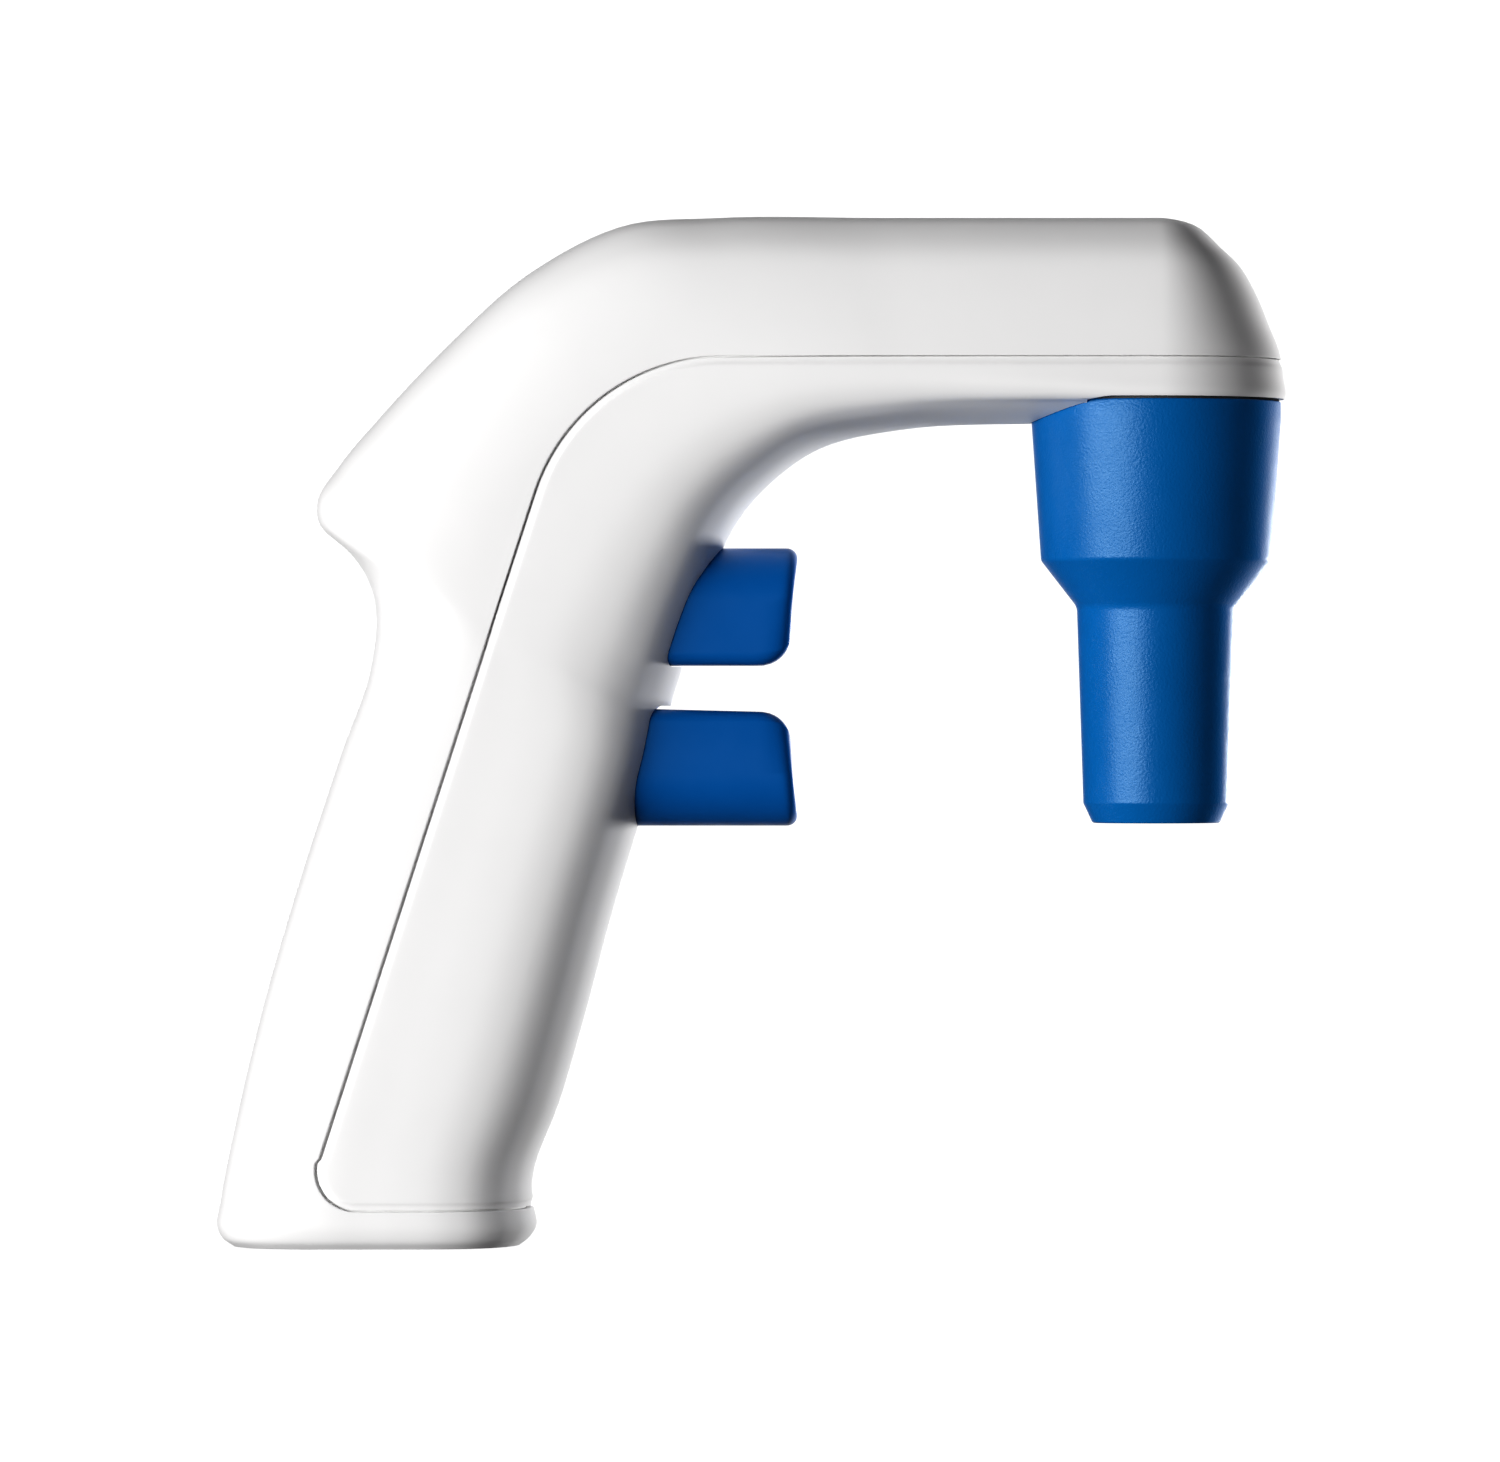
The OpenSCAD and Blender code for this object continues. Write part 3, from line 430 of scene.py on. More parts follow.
def upper_columns():
    """Columns from the nose to where the seam starts its lower corner."""
    foot_u = invert(*(CORNER_START[:, None]))[0][0]
    return np.concatenate([FAN_U, np.linspace(0, foot_u, int(foot_u * COLUMNS_PER_STATION))])


COLUMNS = upper_columns()


def rim(levels, base_q, corner, depth):
    """(u, q) along the whole seam for each distance in levels: columns, lower corner, then the base.

    corner holds the (u, q) that the main block has at the depth given, for an exact weld.
    """
    d = np.asarray(levels, float)
    u1 = np.broadcast_to(COLUMNS[:, None], (len(COLUMNS), len(d)))
    q1 = seam_q(u1, d)
    c = np.cos(CORNER_TURNS)[1:, None] * (FOOT_R - d) + CORNER[0]
    s = np.sin(CORNER_TURNS)[1:, None] * (FOOT_R - d) + CORNER[1]
    u2, q2 = invert(c, s)
    u2[:, d == depth], q2[:, d == depth] = corner[0][1:, None], corner[1][1:, None]
    q3 = np.broadcast_to(base_q[1:, None], (len(base_q) - 1, len(d)))
    u3 = on_level(q3, FOOT[1] + d)
    return np.concatenate([u1, u2, u3]), np.concatenate([q1, q2, q3])


def corner_columns(d, outer_end, steps):
    """Columns from the lower corner at the depth d to the inner or outer edge."""
    start = np.stack([CORNER[0] + np.cos(CORNER_TURNS) * (FOOT_R - d),
                      CORNER[1] + np.sin(CORNER_TURNS) * (FOOT_R - d)], 1)
    u, q = invert(start[:, 0], start[:, 1])
    end_q = 0.0 if outer_end else LAST_Q
    part = np.linspace(0, 1, len(CORNER_TURNS))
    first = np.array(side_view(u[:1], np.array([end_q]))).T[0]
    last_u = on_level(np.array([end_q]), np.array([FOOT[1] + d]))
    last = np.array(side_view(last_u, np.array([end_q]))).T[0]
    z = first[1] + (last[1] - first[1]) * part
    end_u = on_level(np.full(len(z), end_q), z)
    ends = np.stack(side_view(end_u, np.full(len(z), end_q)), 1)
    if outer_end:
        qs = spaced(np.zeros(len(q)), q, steps)
        us = on_line(qs, ends[:, None, :], start[:, None, :])
    else:
        qs = spaced(q, np.full(len(q), end_q), steps)
        us = on_line(qs, start[:, None, :], ends[:, None, :])
    edge = -1 if outer_end else 0
    us[0], us[:, edge], qs[:, edge] = u[0], u, q
    return us, qs


def front_shell():
    """The shell on the triggers' side of the seam, with a tongue along it."""
    half = Half()
    top = 2.4
    qa = seam_q(COLUMNS, top)
    q1 = spaced(qa, np.full(len(qa), LAST_Q), EDGE_STEPS)
    u1 = np.broadcast_to(COLUMNS[:, None], q1.shape)
    u2, q2 = corner_columns(top, False, EDGE_STEPS)
    u = np.concatenate([u1, u2[1:]])
    q = np.concatenate([q1, q2[1:]])
    half.block(surface(u, q))
    half.block(surface(u, q, WALL))
    # The lip: a shallow chamfer beside the gap, then a tongue under the rear shell
    profile = [(2.4, 0), (1.9, 0), (1.5, 0), (1.25, 0.01), (1.12, 0.04), (1.0, 0.1), (0.85, 0.2),
               (0.5, 0.3), (0.15, 0.36), (0.15, 0.7), (0.15, 1.2), (-0.8, 1.2), (-0.8, WALL),
               (0.15, WALL), (1.2, WALL), (2.4, WALL)]
    d, e = np.array(profile).T
    ru, rq = rim(d, q2[-1], (u2[:, 0], q2[:, 0]), top)
    half.block(surface(ru, rq, np.broadcast_to(e, ru.shape)))
    return half.build("front_shell")


def rear_shell():
    """The shell on the heel's side of the seam, which also makes the base."""
    half = Half()
    top = -0.6
    qa = seam_q(COLUMNS, top)
    q1 = spaced(np.zeros(len(qa)), qa, EDGE_STEPS)
    u1 = np.broadcast_to(COLUMNS[:, None], q1.shape)
    u2, q2 = corner_columns(top, True, EDGE_STEPS)
    u, q = np.concatenate([u1, u2[1:]]), np.concatenate([q1, q2[1:]])
    half.block(surface(u, q))
    half.block(surface(u, q, WALL))
    # The ring below the front shell, down to the base
    tail = spaced(q2[-1, -1], LAST_Q, EDGE_STEPS)[0]
    ring_q = np.concatenate([q2[-1], tail[1:]])
    start = on_level(ring_q, np.full(len(ring_q), FOOT[1] + top))
    start[len(q2[-1]) - 1] = u2[-1, -1]
    floor = on_level(ring_q, np.full(len(ring_q), BASE_Z + WALL), inset=WALL)
    for end, inset, steps in ((np.full(len(ring_q), LAST_U), 0, 22), (floor, WALL, 6)):
        ring_u = start + (end - start) * np.linspace(0, 1, steps + 1)[:, None]
        ring = surface(ring_u, np.broadcast_to(ring_q, ring_u.shape), inset)
        half.block(ring)
        half.block(np.stack([ring[-1], ring[-1] * [1, 0, 1]]))
    profile = [(-0.6, 0), (-0.4, 0), (-0.28, 0.0), (-0.2, 0.03), (-0.15, 0.1), (-0.15, 1.05),
               (-1.0, 1.05), (-1.0, WALL), (-0.6, WALL)]
    d, e = np.array(profile).T
    ru, rq = rim(d, tail, (u2[:, -1], q2[:, -1]), top)
    half.block(surface(ru, rq, np.broadcast_to(e, ru.shape)))
    return half.build("rear_shell")


def soften(obj, centre, reach, rounds):
    """Even out a sheet's vertices near a point in side view."""
    mesh = obj.data
    points = np.zeros(len(mesh.vertices) * 3)
    mesh.vertices.foreach_get("co", points)
    points = points.reshape(-1, 3) / MM
    ends = np.zeros(len(mesh.edges) * 2, int)
    mesh.edges.foreach_get("vertices", ends)
    a, b = ends.reshape(-1, 2).T
    away = np.hypot(points[:, 0] - centre[0], points[:, 2] - centre[1])
    weight = np.clip(1.5 - 1.5 * away / reach, 0, 1)
    here, there = np.concatenate([a, b]), np.concatenate([b, a])
    count = np.bincount(here, minlength=len(points))
    for _ in range(rounds):
        total = np.stack([np.bincount(here, axis[there], len(points)) for axis in points.T], 1)
        points += 0.5 * weight[:, None] * (total / count[:, None] - points)
    mesh.vertices.foreach_set("co", (points * MM).ravel())
    mesh.update()


front = front_shell()
rear = rear_shell()
soften(rear, HEEL_CREASE, reach=15, rounds=30)

# ---------------------------------------------------------------- openings in the shells


def cylinder(name, radius, bottom, top, at=(0, 0), steps=96):
    """An upright cylinder in millimetres, to cut with."""
    turn = (np.arange(steps) + 0.5) * 2 * pi / steps
    ring = np.stack([at[0] + radius * np.cos(turn), at[1] + radius * np.sin(turn)], 1)
    return prism(name, ring, bottom, top)


def prism(name, outline, low, high, axes=(0, 1, 2)):
    """An outline of (a, b) run from low to high along the third of the axes given."""
    n = len(outline)
    points = np.zeros((2 * n, 3))
    points[:, axes[0]] = np.tile(outline[:, 0], 2)
    points[:, axes[1]] = np.tile(outline[:, 1], 2)
    points[:, axes[2]] = np.repeat([low, high], n)
    faces = [tuple(range(n)), tuple(range(2 * n - 1, n - 1, -1))]
    faces += [(k, (k + 1) % n, n + (k + 1) % n, n + k) for k in range(n)]
    return add_mesh(name, points, faces)


TRIGGER_HALF, TRIGGER_ARCH, TRIGGER_CORNER = 8.8, 8, 2.2
WINDOW_GAP, FLANGE_LIP, FLANGE_T = 0.2, 1.5, 1.5
# Each trigger: bottom z, top z, x of the flange, and which way its arched end points
TRIGGERS = {"aspirate": (23.6, 41.2, -81.3, 1), "dispense": (-0.4, 17.4, -88.0, -1)}


def trigger_front(low, high, way, grow, steps=48, corner_steps=10):
    """The front outline of a trigger as (y, z): one end arched, the other with two corners."""
    half, arch, corner = TRIGGER_HALF + grow, TRIGGER_ARCH + grow, TRIGGER_CORNER + grow
    flat = (low if way > 0 else high) - way * grow
    arch_z = (high if way > 0 else low) + way * grow - way * arch
    a = np.linspace(0, pi, steps)
    top = np.stack([half * np.cos(a), arch_z + way * arch * np.sin(a)], 1)
    b = np.linspace(pi, 1.5 * pi, corner_steps)
    left = np.stack([-half + corner + corner * np.cos(b), flat + way * (corner + corner * np.sin(b))], 1)
    right = left[::-1] * [-1, 1]
    return np.concatenate([top, left, right])


# The nose's roof, the pocket under it for the cone, and the opening in it for the socket's neck
ROOF_Z = (62.6, 65.8)
POCKET_R, POCKET_TOP, NECK_R = 19, 63.6, 10.6
# Side view of what is trimmed off the skirt round the nose
SKIRT_CUT = np.array([(-10.9, 62.95), (-10.9, 57), (25, 57), (25, 63.5), (-7.3, 63.52), (-8.6, 63.4)])
# Openings in the base, which the cutters enter from below
BELOW_BASE, ABOVE_BASE = -66, -58
INLET_X, INLET_R = -127.5, 4.3
SCREW_X, SCREW_Y, SCREW_HOLE_R, SCREW_HEAD_R, SCREW_HEAD_TOP = -102, 7.5, 1.5, 2.8, -62.2
STATUS_X, STATUS_Z, STATUS_R, STATUS_TILT = -88, 86.05, 1.6, radians(-29)

for low, high, _, way in TRIGGERS.values():
    outline = trigger_front(low, high, way, WINDOW_GAP)
    boolean(front, prism("window", outline, -95, -50, (1, 2, 0)), "DIFFERENCE")
turn = np.linspace(0, 2 * pi, 96, endpoint=False)
# The roof reaches further out towards the grip
reach = 18.3 + 2.2 * np.maximum(0, -np.cos(turn)) ** 2
roof = np.stack([reach * np.cos(turn), reach * np.sin(turn)], 1)
boolean(front, prism("roof", roof, *ROOF_Z), "UNION")
boolean(front, cylinder("pocket", POCKET_R, 50, POCKET_TOP, steps=160), "DIFFERENCE")
boolean(front, cylinder("neck", NECK_R, 62, 70), "DIFFERENCE")
boolean(front, prism("skirt", SKIRT_CUT, -25, 25, (0, 2, 1)), "DIFFERENCE")
boolean(rear, cylinder("inlet", INLET_R, BELOW_BASE, ABOVE_BASE, (INLET_X, 0)), "DIFFERENCE")
for y in (-SCREW_Y, SCREW_Y):
    hole = cylinder("screw_hole", SCREW_HOLE_R, BELOW_BASE, ABOVE_BASE, (SCREW_X, y), 40)
    boolean(rear, hole, "DIFFERENCE")
    head = cylinder("screw_head", SCREW_HEAD_R, BELOW_BASE, SCREW_HEAD_TOP, (SCREW_X, y), 48)
    boolean(rear, head, "DIFFERENCE")
lens_hole = cylinder("status", STATUS_R, -6, 6, steps=48)
lens_place = Matrix.Translation((STATUS_X * MM, 0, STATUS_Z * MM))
lens_hole.data.transform(lens_place @ Matrix.Rotation(STATUS_TILT, 4, "Y"))
boolean(rear, lens_hole, "DIFFERENCE")
for shell, node in ((front, "front_housing"), (rear, "rear_housing")):
    tidy(shell, 38, 2e-7)
    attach(shell, "root")
    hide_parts(node)

# ---------------------------------------------------------------- triggers


def outline_distance(outline):
    """A function that gives the signed distance from a closed outline, negative inside."""
    a = np.asarray(outline)
    b = np.roll(a, -1, axis=0)
    edge = b - a
    length2 = (edge**2).sum(1)

    def distance(p):
        shape = p.shape[:-1]
        p = p.reshape(-1, 1, 2)
        t = np.clip(((p - a) * edge).sum(2) / length2, 0, 1)
        near = np.hypot(*np.moveaxis(p - a - t[..., None] * edge, 2, 0)).min(1)
        above = (a[:, 1] > p[..., 1]) != (b[:, 1] > p[..., 1])
        with np.errstate(divide="ignore", invalid="ignore"):
            cross = a[:, 0] + (p[..., 1] - a[:, 1]) / edge[:, 1] * edge[:, 0]
        inside = (above & (p[..., 0] < cross)).sum(1) % 2 == 1
        return np.where(inside, -near, near).reshape(shape)

    return distance


def make_trigger(name, low, high, flange_x, way):
    """A trigger with a rounded finger face and a flange behind the window."""
    tip_x, heel_r = -53.7, 4.6
    tip = high if way > 0 else low
    heel = low if way > 0 else high - 0.7
    heel_back = low if way > 0 else high
    # Side view: a slightly hollow face that turns into the heel, open past the tip
    a = np.linspace(0, pi / 2, 16)
    heel_arc = np.stack([tip_x - 1.1 - heel_r + heel_r * np.cos(a),
                         heel + way * heel_r - way * heel_r * np.sin(a)], 1)
    face = np.array([[tip_x + 0.05, tip + way * 8], [tip_x, tip], [tip_x - 0.12, tip - way * 2],
                     [tip_x - 0.5, tip - way * 5], [tip_x - 0.86, tip - way * 8.4]])
    side = np.concatenate([[[-100, tip + way * 8]], face, heel_arc,
                           [[flange_x, heel_back], [-100, heel_back]]])
    profile = outline_distance(side)
    # Front view: the arched end, with straight sides that run on past the heel
    front_a = np.linspace(0, pi, 64)
    arch_z = tip - way * TRIGGER_ARCH
    arch_rise = way * TRIGGER_ARCH * np.sin(front_a)
    arch = np.stack([TRIGGER_HALF * np.cos(front_a), arch_z + arch_rise], 1)
    far = heel - way * 12
    walls = outline_distance(np.concatenate([arch, [[-TRIGGER_HALF, far], [TRIGGER_HALF, far]]]))

    def distance(p):
        """A round edge between the walls and the face, wider towards the heel."""
        near_heel = np.clip(1 - np.abs(p[..., 2] - heel) / 7, 0, 1)
        r = 1.7 + 0.6 * near_heel**2
        a = walls(p[..., [1, 2]]) + r
        b = profile(p[..., [0, 2]]) + r
        both = np.hypot(np.maximum(a, 0), np.maximum(b, 0))
        return np.where((a > 0) | (b > 0), both, np.maximum(a, b)) - r

    def cast(start, ray, near=0.2, far=1.6, shape=distance):
        """Where rays from the start cross the surface of the shape."""
        t = solve(lambda t: shape(start + ray * t[:, None]), np.full(len(ray), near),
                  np.full(len(ray), far))
        return start + ray * t[:, None]

    ring = trigger_front(low, high, way, 0, 64, 12)
    centre = np.array([0, (low + high) / 2])
    spoke = ring - centre
    n = len(ring)
    origin_x = tip_x - 7
    rows = []
    fractions = [0.12, 0.25, 0.38, 0.5, 0.6, 0.68, 0.75, 0.8, 0.84, 0.87, 0.9, 0.92, 0.94, 0.96,
                 0.98, 1.0]
    templates = [np.concatenate([np.full((n, 1), tip_x), centre + spoke * f], 1) for f in fractions]
    for back in (0.15, 0.35, 0.6, 0.85, 1.1, 1.4, 1.8, 2.3, 3, 4, 5.2, 6.4):
        templates.append(np.concatenate([np.full((n, 1), tip_x - back), centre + spoke], 1))
    origin = np.array([origin_x, 0, centre[1]])
    face_centre = cast(origin, np.array([[1, 0, 0]]), 2.0, 12.0)
    for template in templates:
        rows.append(cast(origin, template - origin))
    flange_front = flange_x + FLANGE_T
    for x in np.linspace(origin_x - 0.5, flange_front, 9):
        start = np.array([x, 0, centre[1]])
        rows.append(cast(start, np.concatenate([np.zeros((n, 1)), spoke], 1)))
    rim_shape = outline_distance(trigger_front(low, high, way, FLANGE_LIP, 64, 12))
    wide = cast(centre, spoke, 0.5, 2.0, rim_shape)
    for x, scale in ((flange_front, 0.98), (flange_front - 0.2, 1), (flange_x + 0.2, 1), (flange_x, 0.98),
                     (flange_x, 0.5)):
        rows.append(np.concatenate([np.full((n, 1), x), centre + (wide - centre) * scale], 1))
    points = np.concatenate([*rows, face_centre, [[flange_x, 0, centre[1]]]])
    faces = tube_faces(len(rows), n)
    last = len(rows) * n
    faces += [(last, k, (k + 1) % n) for k in range(n)]
    faces += [(last + 1, last - n + (k + 1) % n, last - n + k) for k in range(n)]
    obj = add_mesh(name + "_pad", points, faces, 40)
    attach(obj, name + "_button")
    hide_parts(name + "_trigger")
    return obj


pads = [make_trigger(name, *values) for name, values in TRIGGERS.items()]

# ---------------------------------------------------------------- trigger springs

BLOCK_X = -98  # the valve block's face, which the springs push from


def make_spring(name, axis_z, turns, wire=0.35, coil=2.6, per_turn=36, sides=12):
    """A compression spring along X, from the valve block's face to its trigger's flange."""
    length = TRIGGERS[name][2] - BLOCK_X
    t = np.linspace(0, 1, turns * per_turn + 1)
    a = 2 * pi * turns * t
    # The pitch is closer at both ends
    x = BLOCK_X + wire + (length - 2 * wire) * (t + t * t * (3 - 2 * t)) / 2
    centre = np.stack([x, coil * np.cos(a), axis_z + coil * np.sin(a)], 1)
    heading = np.gradient(centre, axis=0)
    heading /= np.linalg.norm(heading, axis=1)[:, None]
    outward = np.stack([0 * a, np.cos(a), np.sin(a)], 1)
    side = np.cross(heading, outward)
    side /= np.linalg.norm(side, axis=1)[:, None]
    k = np.arange(sides) * 2 * pi / sides
    rings = centre[:, None] + wire * (np.cross(side, heading)[:, None] * np.cos(k)[:, None]
                                      + side[:, None] * np.sin(k)[:, None])
    faces = tube_faces(len(t), sides)
    faces += [tuple(range(sides)), tuple(range(len(t) * sides - 1, (len(t) - 1) * sides - 1, -1))]
    obj = add_mesh(name + "_coil", rings.reshape(-1, 3), faces, 50)
    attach(obj, "root")
    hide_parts(name + "_spring")
    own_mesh(obj)
    return obj


springs = [make_spring("aspirate", 31, 7), make_spring("dispense", 10, 4)]

# ---------------------------------------------------------------- nose cone

# Outlines of (radius, height, rounding)
CONE = [(8.4, 0, 0.35), (9.5, 0, 0.5), (10.9, 3.0, 0.8), (11.87, 32.4, 2.2), (17.25, 39.35, 1.2),
        (18.7, 60.5, 8), (18.7, 63.15, 0.25), (15.3, 63.15, 0.2), (15.3, 51.5, 0), (14.6, 50.6, 0),
        (14.6, 40.2, 0), (14.3, 39.2, 0), (9.6, 33.3, 0), (9.4, 30, 0), (9, 3, 0), (8.4, 2.4, 0)]
cone = lathe("cone", rounded(CONE), 160)
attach(cone, "nose")
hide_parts("nose_cone")
# A black ring in the slit between the cone's top and the housing. This is painted shade: a dark solid put
# where the real gap has only shadow.
SHADOW_RING = [(17.4, 62.9, 0), (18.45, 62.9, 0.1), (18.45, 63.55, 0.15), (17.4, 63.55, 0)]
shadow_ring = lathe("nose_shadow_ring", rounded(SHADOW_RING), 160)
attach(shadow_ring, "nose")

# ---------------------------------------------------------------- materials


def new_material(name, metallic=0.0, roughness=0.5, colour=(0.8, 0.8, 0.8), **sockets):
    """A principled material with constant values on its own sockets."""
    mat = bpy.data.materials.new(name)
    mat.use_nodes = True
    shader = mat.node_tree.nodes["Principled BSDF"]
    shader.inputs["Base Color"].default_value = (*colour, 1)
    shader.inputs["Metallic"].default_value = metallic
    shader.inputs["Roughness"].default_value = roughness
    for key, value in sockets.items():
        shader.inputs[key.replace("_", " ")].default_value = value
    return mat, mat.node_tree, shader


def noise(tree, scale, detail, rough, stretch):
    """Noise in the object's own coordinates."""
    coords = tree.nodes.new("ShaderNodeTexCoord")
    mapping = tree.nodes.new("ShaderNodeMapping")
    mapping.inputs["Scale"].default_value = stretch
    texture = tree.nodes.new("ShaderNodeTexNoise")
    texture.inputs["Scale"].default_value = scale
    texture.inputs["Detail"].default_value = detail
    texture.inputs["Roughness"].default_value = rough
    tree.links.new(coords.outputs["Object"], mapping.inputs["Vector"])
    tree.links.new(mapping.outputs["Vector"], texture.inputs["Vector"])
    return texture.outputs["Fac"]


def remap(tree, value, low, high, to_low, to_high):
    """A value taken from one range to another."""
    node = tree.nodes.new("ShaderNodeMapRange")
    for key, number in zip(("From Min", "From Max", "To Min", "To Max"), (low, high, to_low, to_high)):
        node.inputs[key].default_value = number
    tree.links.new(value, node.inputs["Value"])
    return node.outputs["Result"]


def tint(tree, value, dark, light):
    """A colour between dark and light."""
    node = tree.nodes.new("ShaderNodeMix")
    node.data_type = "RGBA"
    node.inputs["A"].default_value = (*dark, 1)
    node.inputs["B"].default_value = (*light, 1)
    tree.links.new(value, node.inputs["Factor"])
    return node.outputs["Result"]


def bump(tree, shader, height, strength, distance):
    """Relief from a height."""
    node = tree.nodes.new("ShaderNodeBump")
    node.inputs["Strength"].default_value = strength
    node.inputs["Distance"].default_value = distance
    tree.links.new(height, node.inputs["Height"])
    tree.links.new(node.outputs["Normal"], shader.inputs["Normal"])


def shade(colour, factor):
    """A colour made lighter or darker."""
    return tuple(min(1, max(0, v * factor)) for v in colour)


MOTTLE_SCALE, GLOSS_SCALE = 60, 240
MATERIALS = {}


def finish(name, colour, roughness, grain, depth, strength, vary, rough_vary=0.05, metallic=0.0,
           stretch=(1, 1, 1), **sockets):
    """Plastic, rubber or metal: faint mottling, uneven gloss and a fine grain."""
    mat, tree, shader = new_material(name, metallic, roughness, colour, **sockets)
    slow = noise(tree, MOTTLE_SCALE, 3, 0.55, stretch)
    tree.links.new(tint(tree, remap(tree, slow, 0.3, 0.7, 0, 1), shade(colour, 1 - vary),
                        shade(colour, 1 + vary)), shader.inputs["Base Color"])
    gloss = noise(tree, GLOSS_SCALE, 3, 0.6, stretch)
    tree.links.new(remap(tree, gloss, 0.3, 0.7, roughness - rough_vary, roughness + rough_vary),
                   shader.inputs["Roughness"])
    bump(tree, shader, noise(tree, grain, 2, 0.6, stretch), strength, depth)
    MATERIALS[name] = mat


# Colour, roughness, grain scale, grain depth, grain strength, then how far colour and gloss vary
finish("white_shell", (0.86, 0.855, 0.85), 0.42, 5200, 0.00002, 0.12, 0.008, 0.03,
       Specular_IOR_Level=0.3)
finish("trigger_blue", (0.0002, 0.087, 0.335), 0.4, 5200, 0.00002, 0.15, 0.03, 0.04,
       Specular_IOR_Level=0.3, Specular_Tint=(0.4, 0.7, 1, 1))
finish("cone_blue", (0.0002, 0.11, 0.36), 0.33, 2600, 0.0001, 0.6, 0.04, 0.03,
                         Specular_IOR_Level=0.4, Specular_Tint=(0.4, 0.7, 1, 1))
finish("silicone", (0.62, 0.62, 0.6), 0.55, 3000, 0.00002, 0.2, 0.04)
finish("filter_plastic", (0.75, 0.78, 0.8), 0.35, 2500, 0.00002, 0.2, 0.05)
finish("grey_plastic", (0.42, 0.43, 0.45), 0.5, 4000, 0.00003, 0.3, 0.05)
finish("pump_plastic", (0.08, 0.085, 0.09), 0.45, 4000, 0.00003, 0.3, 0.08)
finish("black_plastic", (0.022, 0.022, 0.024), 0.4, 4000, 0.00003, 0.3, 0.1)
finish("black_rubber", (0.018, 0.018, 0.018), 0.7, 6000, 0.00004, 0.4, 0.12)
finish("steel", (0.62, 0.62, 0.63), 0.28, 2600, 0.00001, 0.25, 0.04, 0.08, 1.0, (1, 1, 6))
finish("motor_can", (0.5, 0.5, 0.5), 0.33, 2600, 0.00001, 0.25, 0.05, 0.08, 1.0, (8, 1, 1))
finish("magnet_metal", (0.55, 0.54, 0.52), 0.2, 2600, 0.00001, 0.2, 0.04, 0.06, 1.0)
finish("board_green", (0.012, 0.11, 0.045), 0.35, 2200, 0.00003, 0.3, 0.15)
finish("hose_silicone", (0.72, 0.72, 0.7), 0.4, 3000, 0.00002, 0.2, 0.03)
finish("cell_wrap", (0.03, 0.16, 0.12), 0.3, 2600, 0.00002, 0.2, 0.06)
finish("contact_brass", (0.7, 0.52, 0.2), 0.3, 2600, 0.00001, 0.25, 0.06, 0.08, 1.0)
finish("light_green", (0.1, 0.55, 0.16), 0.25, 2600, 0.00001, 0.1, 0.04, 0.03)


def dress(obj, material):
    """Put one material on an object."""
    obj.data.materials.clear()
    obj.data.materials.append(material)


slots = {row["node"]: row["material_slot"] for row in frame["record"]["subparts"]}
replaced = {"front_housing", "rear_housing", "aspirate_trigger", "dispense_trigger", "nose_cone",
            "aspirate_spring", "dispense_spring"}
for node, obj in frame["nodes"].items():
    if node not in replaced:
        dress(obj, MATERIALS[slots[node]])
for obj in (front, rear):
    dress(obj, MATERIALS["white_shell"])
for obj in pads:
    dress(obj, MATERIALS["trigger_blue"])
dress(cone, MATERIALS["cone_blue"])
# The ring under the housing is black as painted shade for the gap.
dress(shadow_ring, MATERIALS["black_rubber"])
for obj in springs:
    dress(obj, MATERIALS["steel"])

# ---------------------------------------------------------------- floor, lights and sky

FLOOR_GAP, FLOOR_SIZE = 0.0002, 12
CONTACT_REACH, CONTACT_SHADE = 0.03, 0.86
GLOW_ON_OBJECT = 0.22  # the floor is white to the camera, and this bright to the object

floor_z = cad_box[0][2] - FLOOR_GAP
bpy.ops.mesh.primitive_grid_add(x_subdivisions=2, y_subdivisions=2, size=FLOOR_SIZE,
                                location=(-0.06, 0, floor_z))
floor = bpy.context.object
floor.name = "studio_floor"
floor_mat, tree, _ = new_material("studio_floor", 0, 0.8, (0.9, 0.9, 0.9))
glow = tree.nodes.new("ShaderNodeEmission")
# Painted contact shadow: the floor's glow to the camera is darker where ambient occlusion finds the object
# close by.
shade_in = tree.nodes.new("ShaderNodeAmbientOcclusion")
shade_in.inputs["Distance"].default_value = CONTACT_REACH
shade_in.samples = 12
floor_ray = tree.nodes.new("ShaderNodeLightPath")
level = remap(tree, shade_in.outputs["AO"], 0, 1, CONTACT_SHADE, 1)
chosen = tree.nodes.new("ShaderNodeMix")
chosen.inputs["A"].default_value = GLOW_ON_OBJECT
tree.links.new(floor_ray.outputs["Is Camera Ray"], chosen.inputs["Factor"])
tree.links.new(level, chosen.inputs["B"])
tree.links.new(chosen.outputs["Result"], glow.inputs["Strength"])
tree.links.new(glow.outputs["Emission"], tree.nodes["Material Output"].inputs["Surface"])
dress(floor, floor_mat)
# The floor is lit from below too, as a light table is, so it hides no light
floor.visible_shadow = floor.visible_diffuse = floor.visible_glossy = False

MIDDLE = Vector((-0.06, 0, 0.02))
NOSE = Vector((0, 0, 0.045))


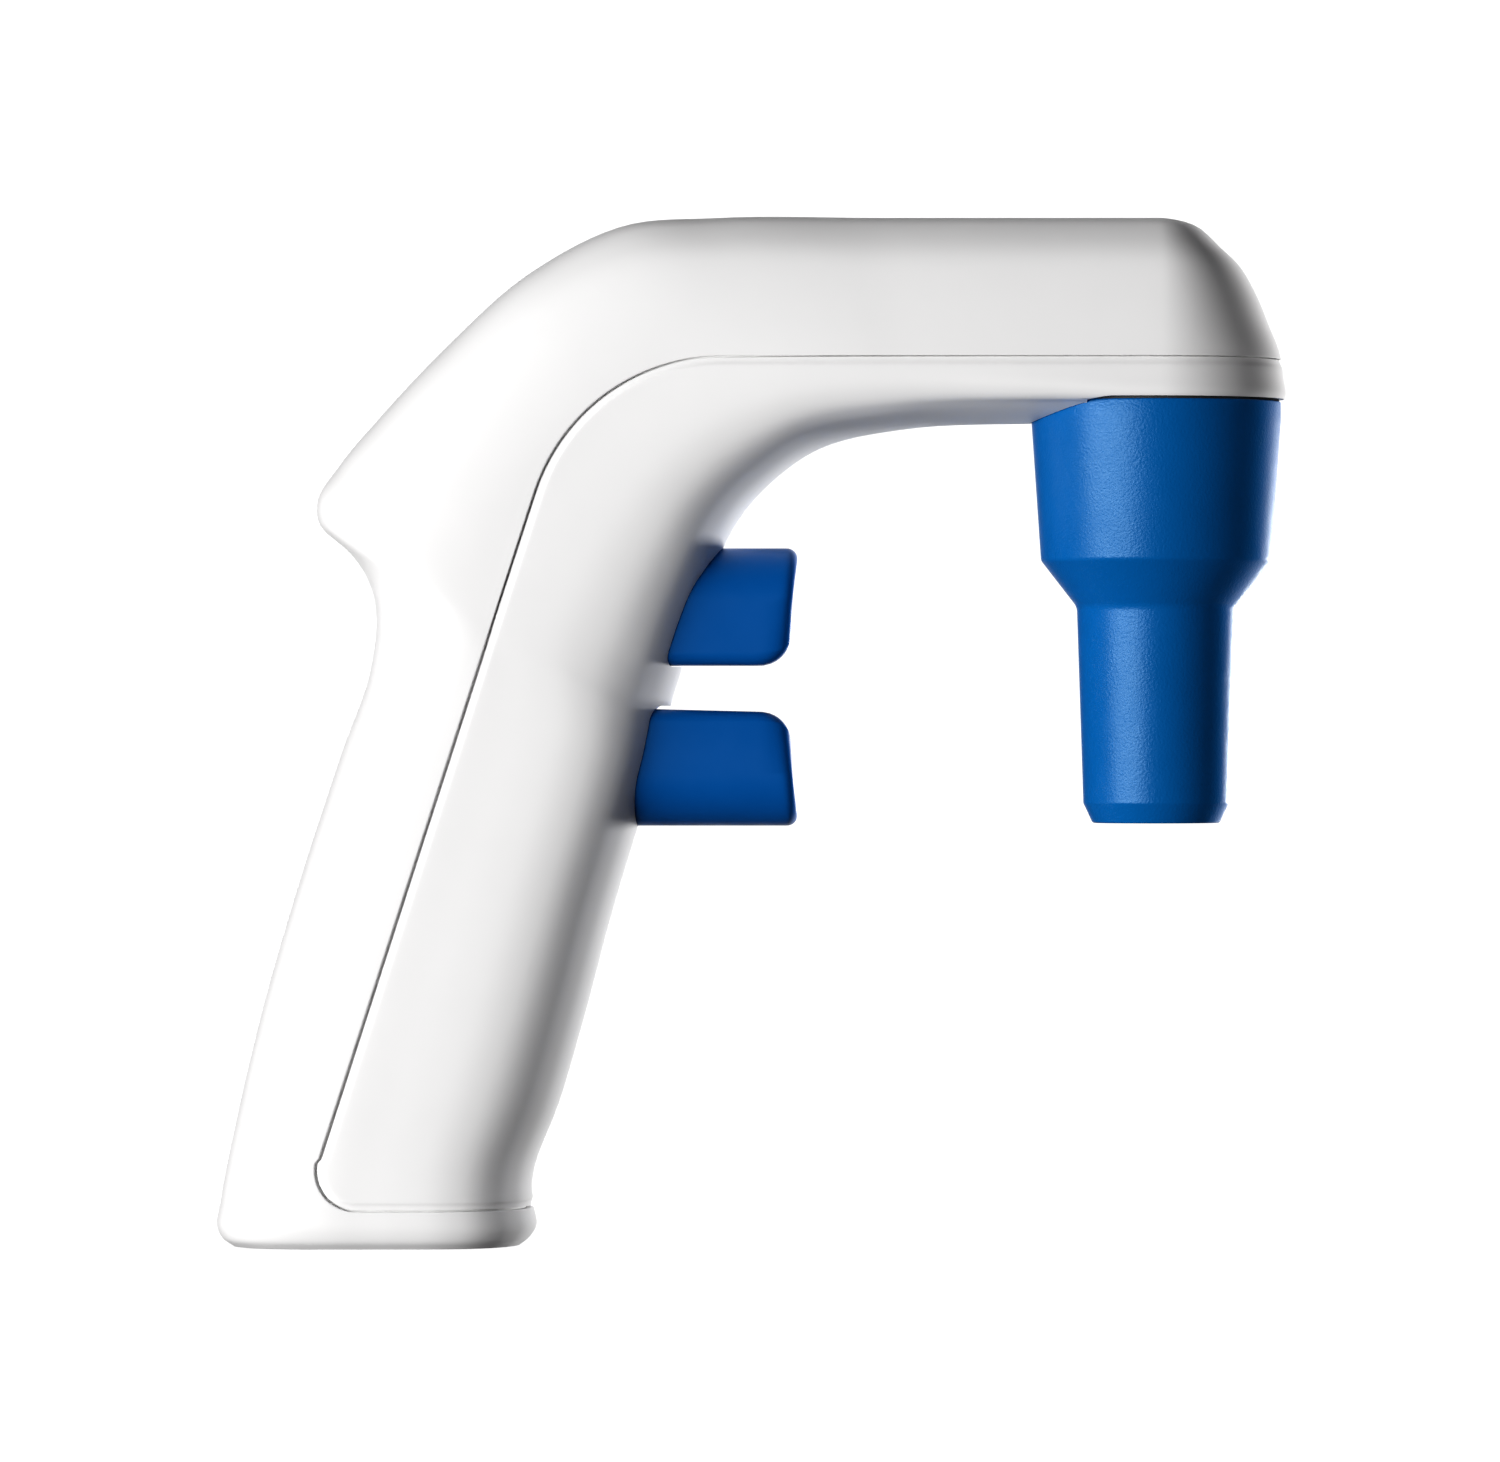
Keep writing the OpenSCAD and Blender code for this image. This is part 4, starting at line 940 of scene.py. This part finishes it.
def softbox(name, turn, rise, distance, size, radiance, target=MIDDLE):
    """A soft box seen from the object at a turn from the camera's side, right positive."""
    light = bpy.data.objects.new(name, bpy.data.lights.new(name, "AREA"))
    bpy.context.scene.collection.objects.link(light)
    light.data.shape = "RECTANGLE"
    light.data.size, light.data.size_y = size
    light.data.energy = radiance * pi * size[0] * size[1]
    turn, rise = radians(turn), radians(rise)
    way = Vector((sin(turn) * cos(rise), -cos(turn) * cos(rise), sin(rise)))
    light.location = target + way * distance
    light.rotation_euler = way.to_track_quat("Z", "Y").to_euler()
    light.visible_camera = False
    return light


softbox("key", -45, 0, 1.2, (1.1, 0.4), 13.2)
softbox("overhead", 180, 55, 1.2, (0.8, 0.4), 1.5)
# Panels behind the nose, each for its own pieces only: name, turn, radiance, pieces, and the kind of light
# that it leaves out
for name, turn, radiance, lit_pieces, hidden in (
        ("kicker", 134, 11, (front, rear), "visible_glossy"),
        ("blue_kicker", 134, 14, (cone, *pads), "visible_glossy"),
        ("rim", 158, 1.2, (cone, *pads), "visible_diffuse")):
    panel = softbox(name, turn, -5, 0.6, (0.2, 0.08), radiance, target=NOSE)
    panel.data.spread = radians(60)
    setattr(panel, hidden, False)
    panel.light_linking.receiver_collection = bpy.data.collections.new(name)
    for piece in lit_pieces:
        panel.light_linking.receiver_collection.objects.link(piece)

DIM_ROOM, WHITE = (0.034, 0.033, 0.036, 1), (1, 1, 1, 1)
BACKDROP_WAY = (0.292, 0.956, 0)

world = bpy.data.worlds.new("studio")
bpy.context.scene.world = world
world.use_nodes = True
sky = world.node_tree
sky.nodes.clear()
ray = sky.nodes.new("ShaderNodeLightPath")
direction = sky.nodes.new("ShaderNodeTexCoord")
# A white backdrop behind the object, a little to the right, and a dim room in front of it
facing = sky.nodes.new("ShaderNodeVectorMath")
facing.operation = "DOT_PRODUCT"
facing.inputs[1].default_value = BACKDROP_WAY
sky.links.new(direction.outputs["Generated"], facing.inputs[0])
ramp_node = sky.nodes.new("ShaderNodeValToRGB")
ramp_node.color_ramp.interpolation = "EASE"
for element, position, colour in zip(ramp_node.color_ramp.elements, (0.78, 0.95), (DIM_ROOM, WHITE)):
    element.position = position
    element.color = colour
sky.links.new(facing.outputs["Value"], ramp_node.inputs["Fac"])
lit = sky.nodes.new("ShaderNodeBackground")
sky.links.new(ramp_node.outputs["Color"], lit.inputs["Color"])
seen = sky.nodes.new("ShaderNodeBackground")
seen.inputs["Color"].default_value = WHITE
choose = sky.nodes.new("ShaderNodeMixShader")
sky.links.new(ray.outputs["Is Camera Ray"], choose.inputs["Fac"])
sky.links.new(lit.outputs[0], choose.inputs[1])
sky.links.new(seen.outputs[0], choose.inputs[2])
sky_out = sky.nodes.new("ShaderNodeOutputWorld")
sky.links.new(choose.outputs[0], sky_out.inputs["Surface"])
bpy.context.scene.view_settings.view_transform = "Standard"
bpy.context.scene.view_settings.look = "Medium High Contrast"
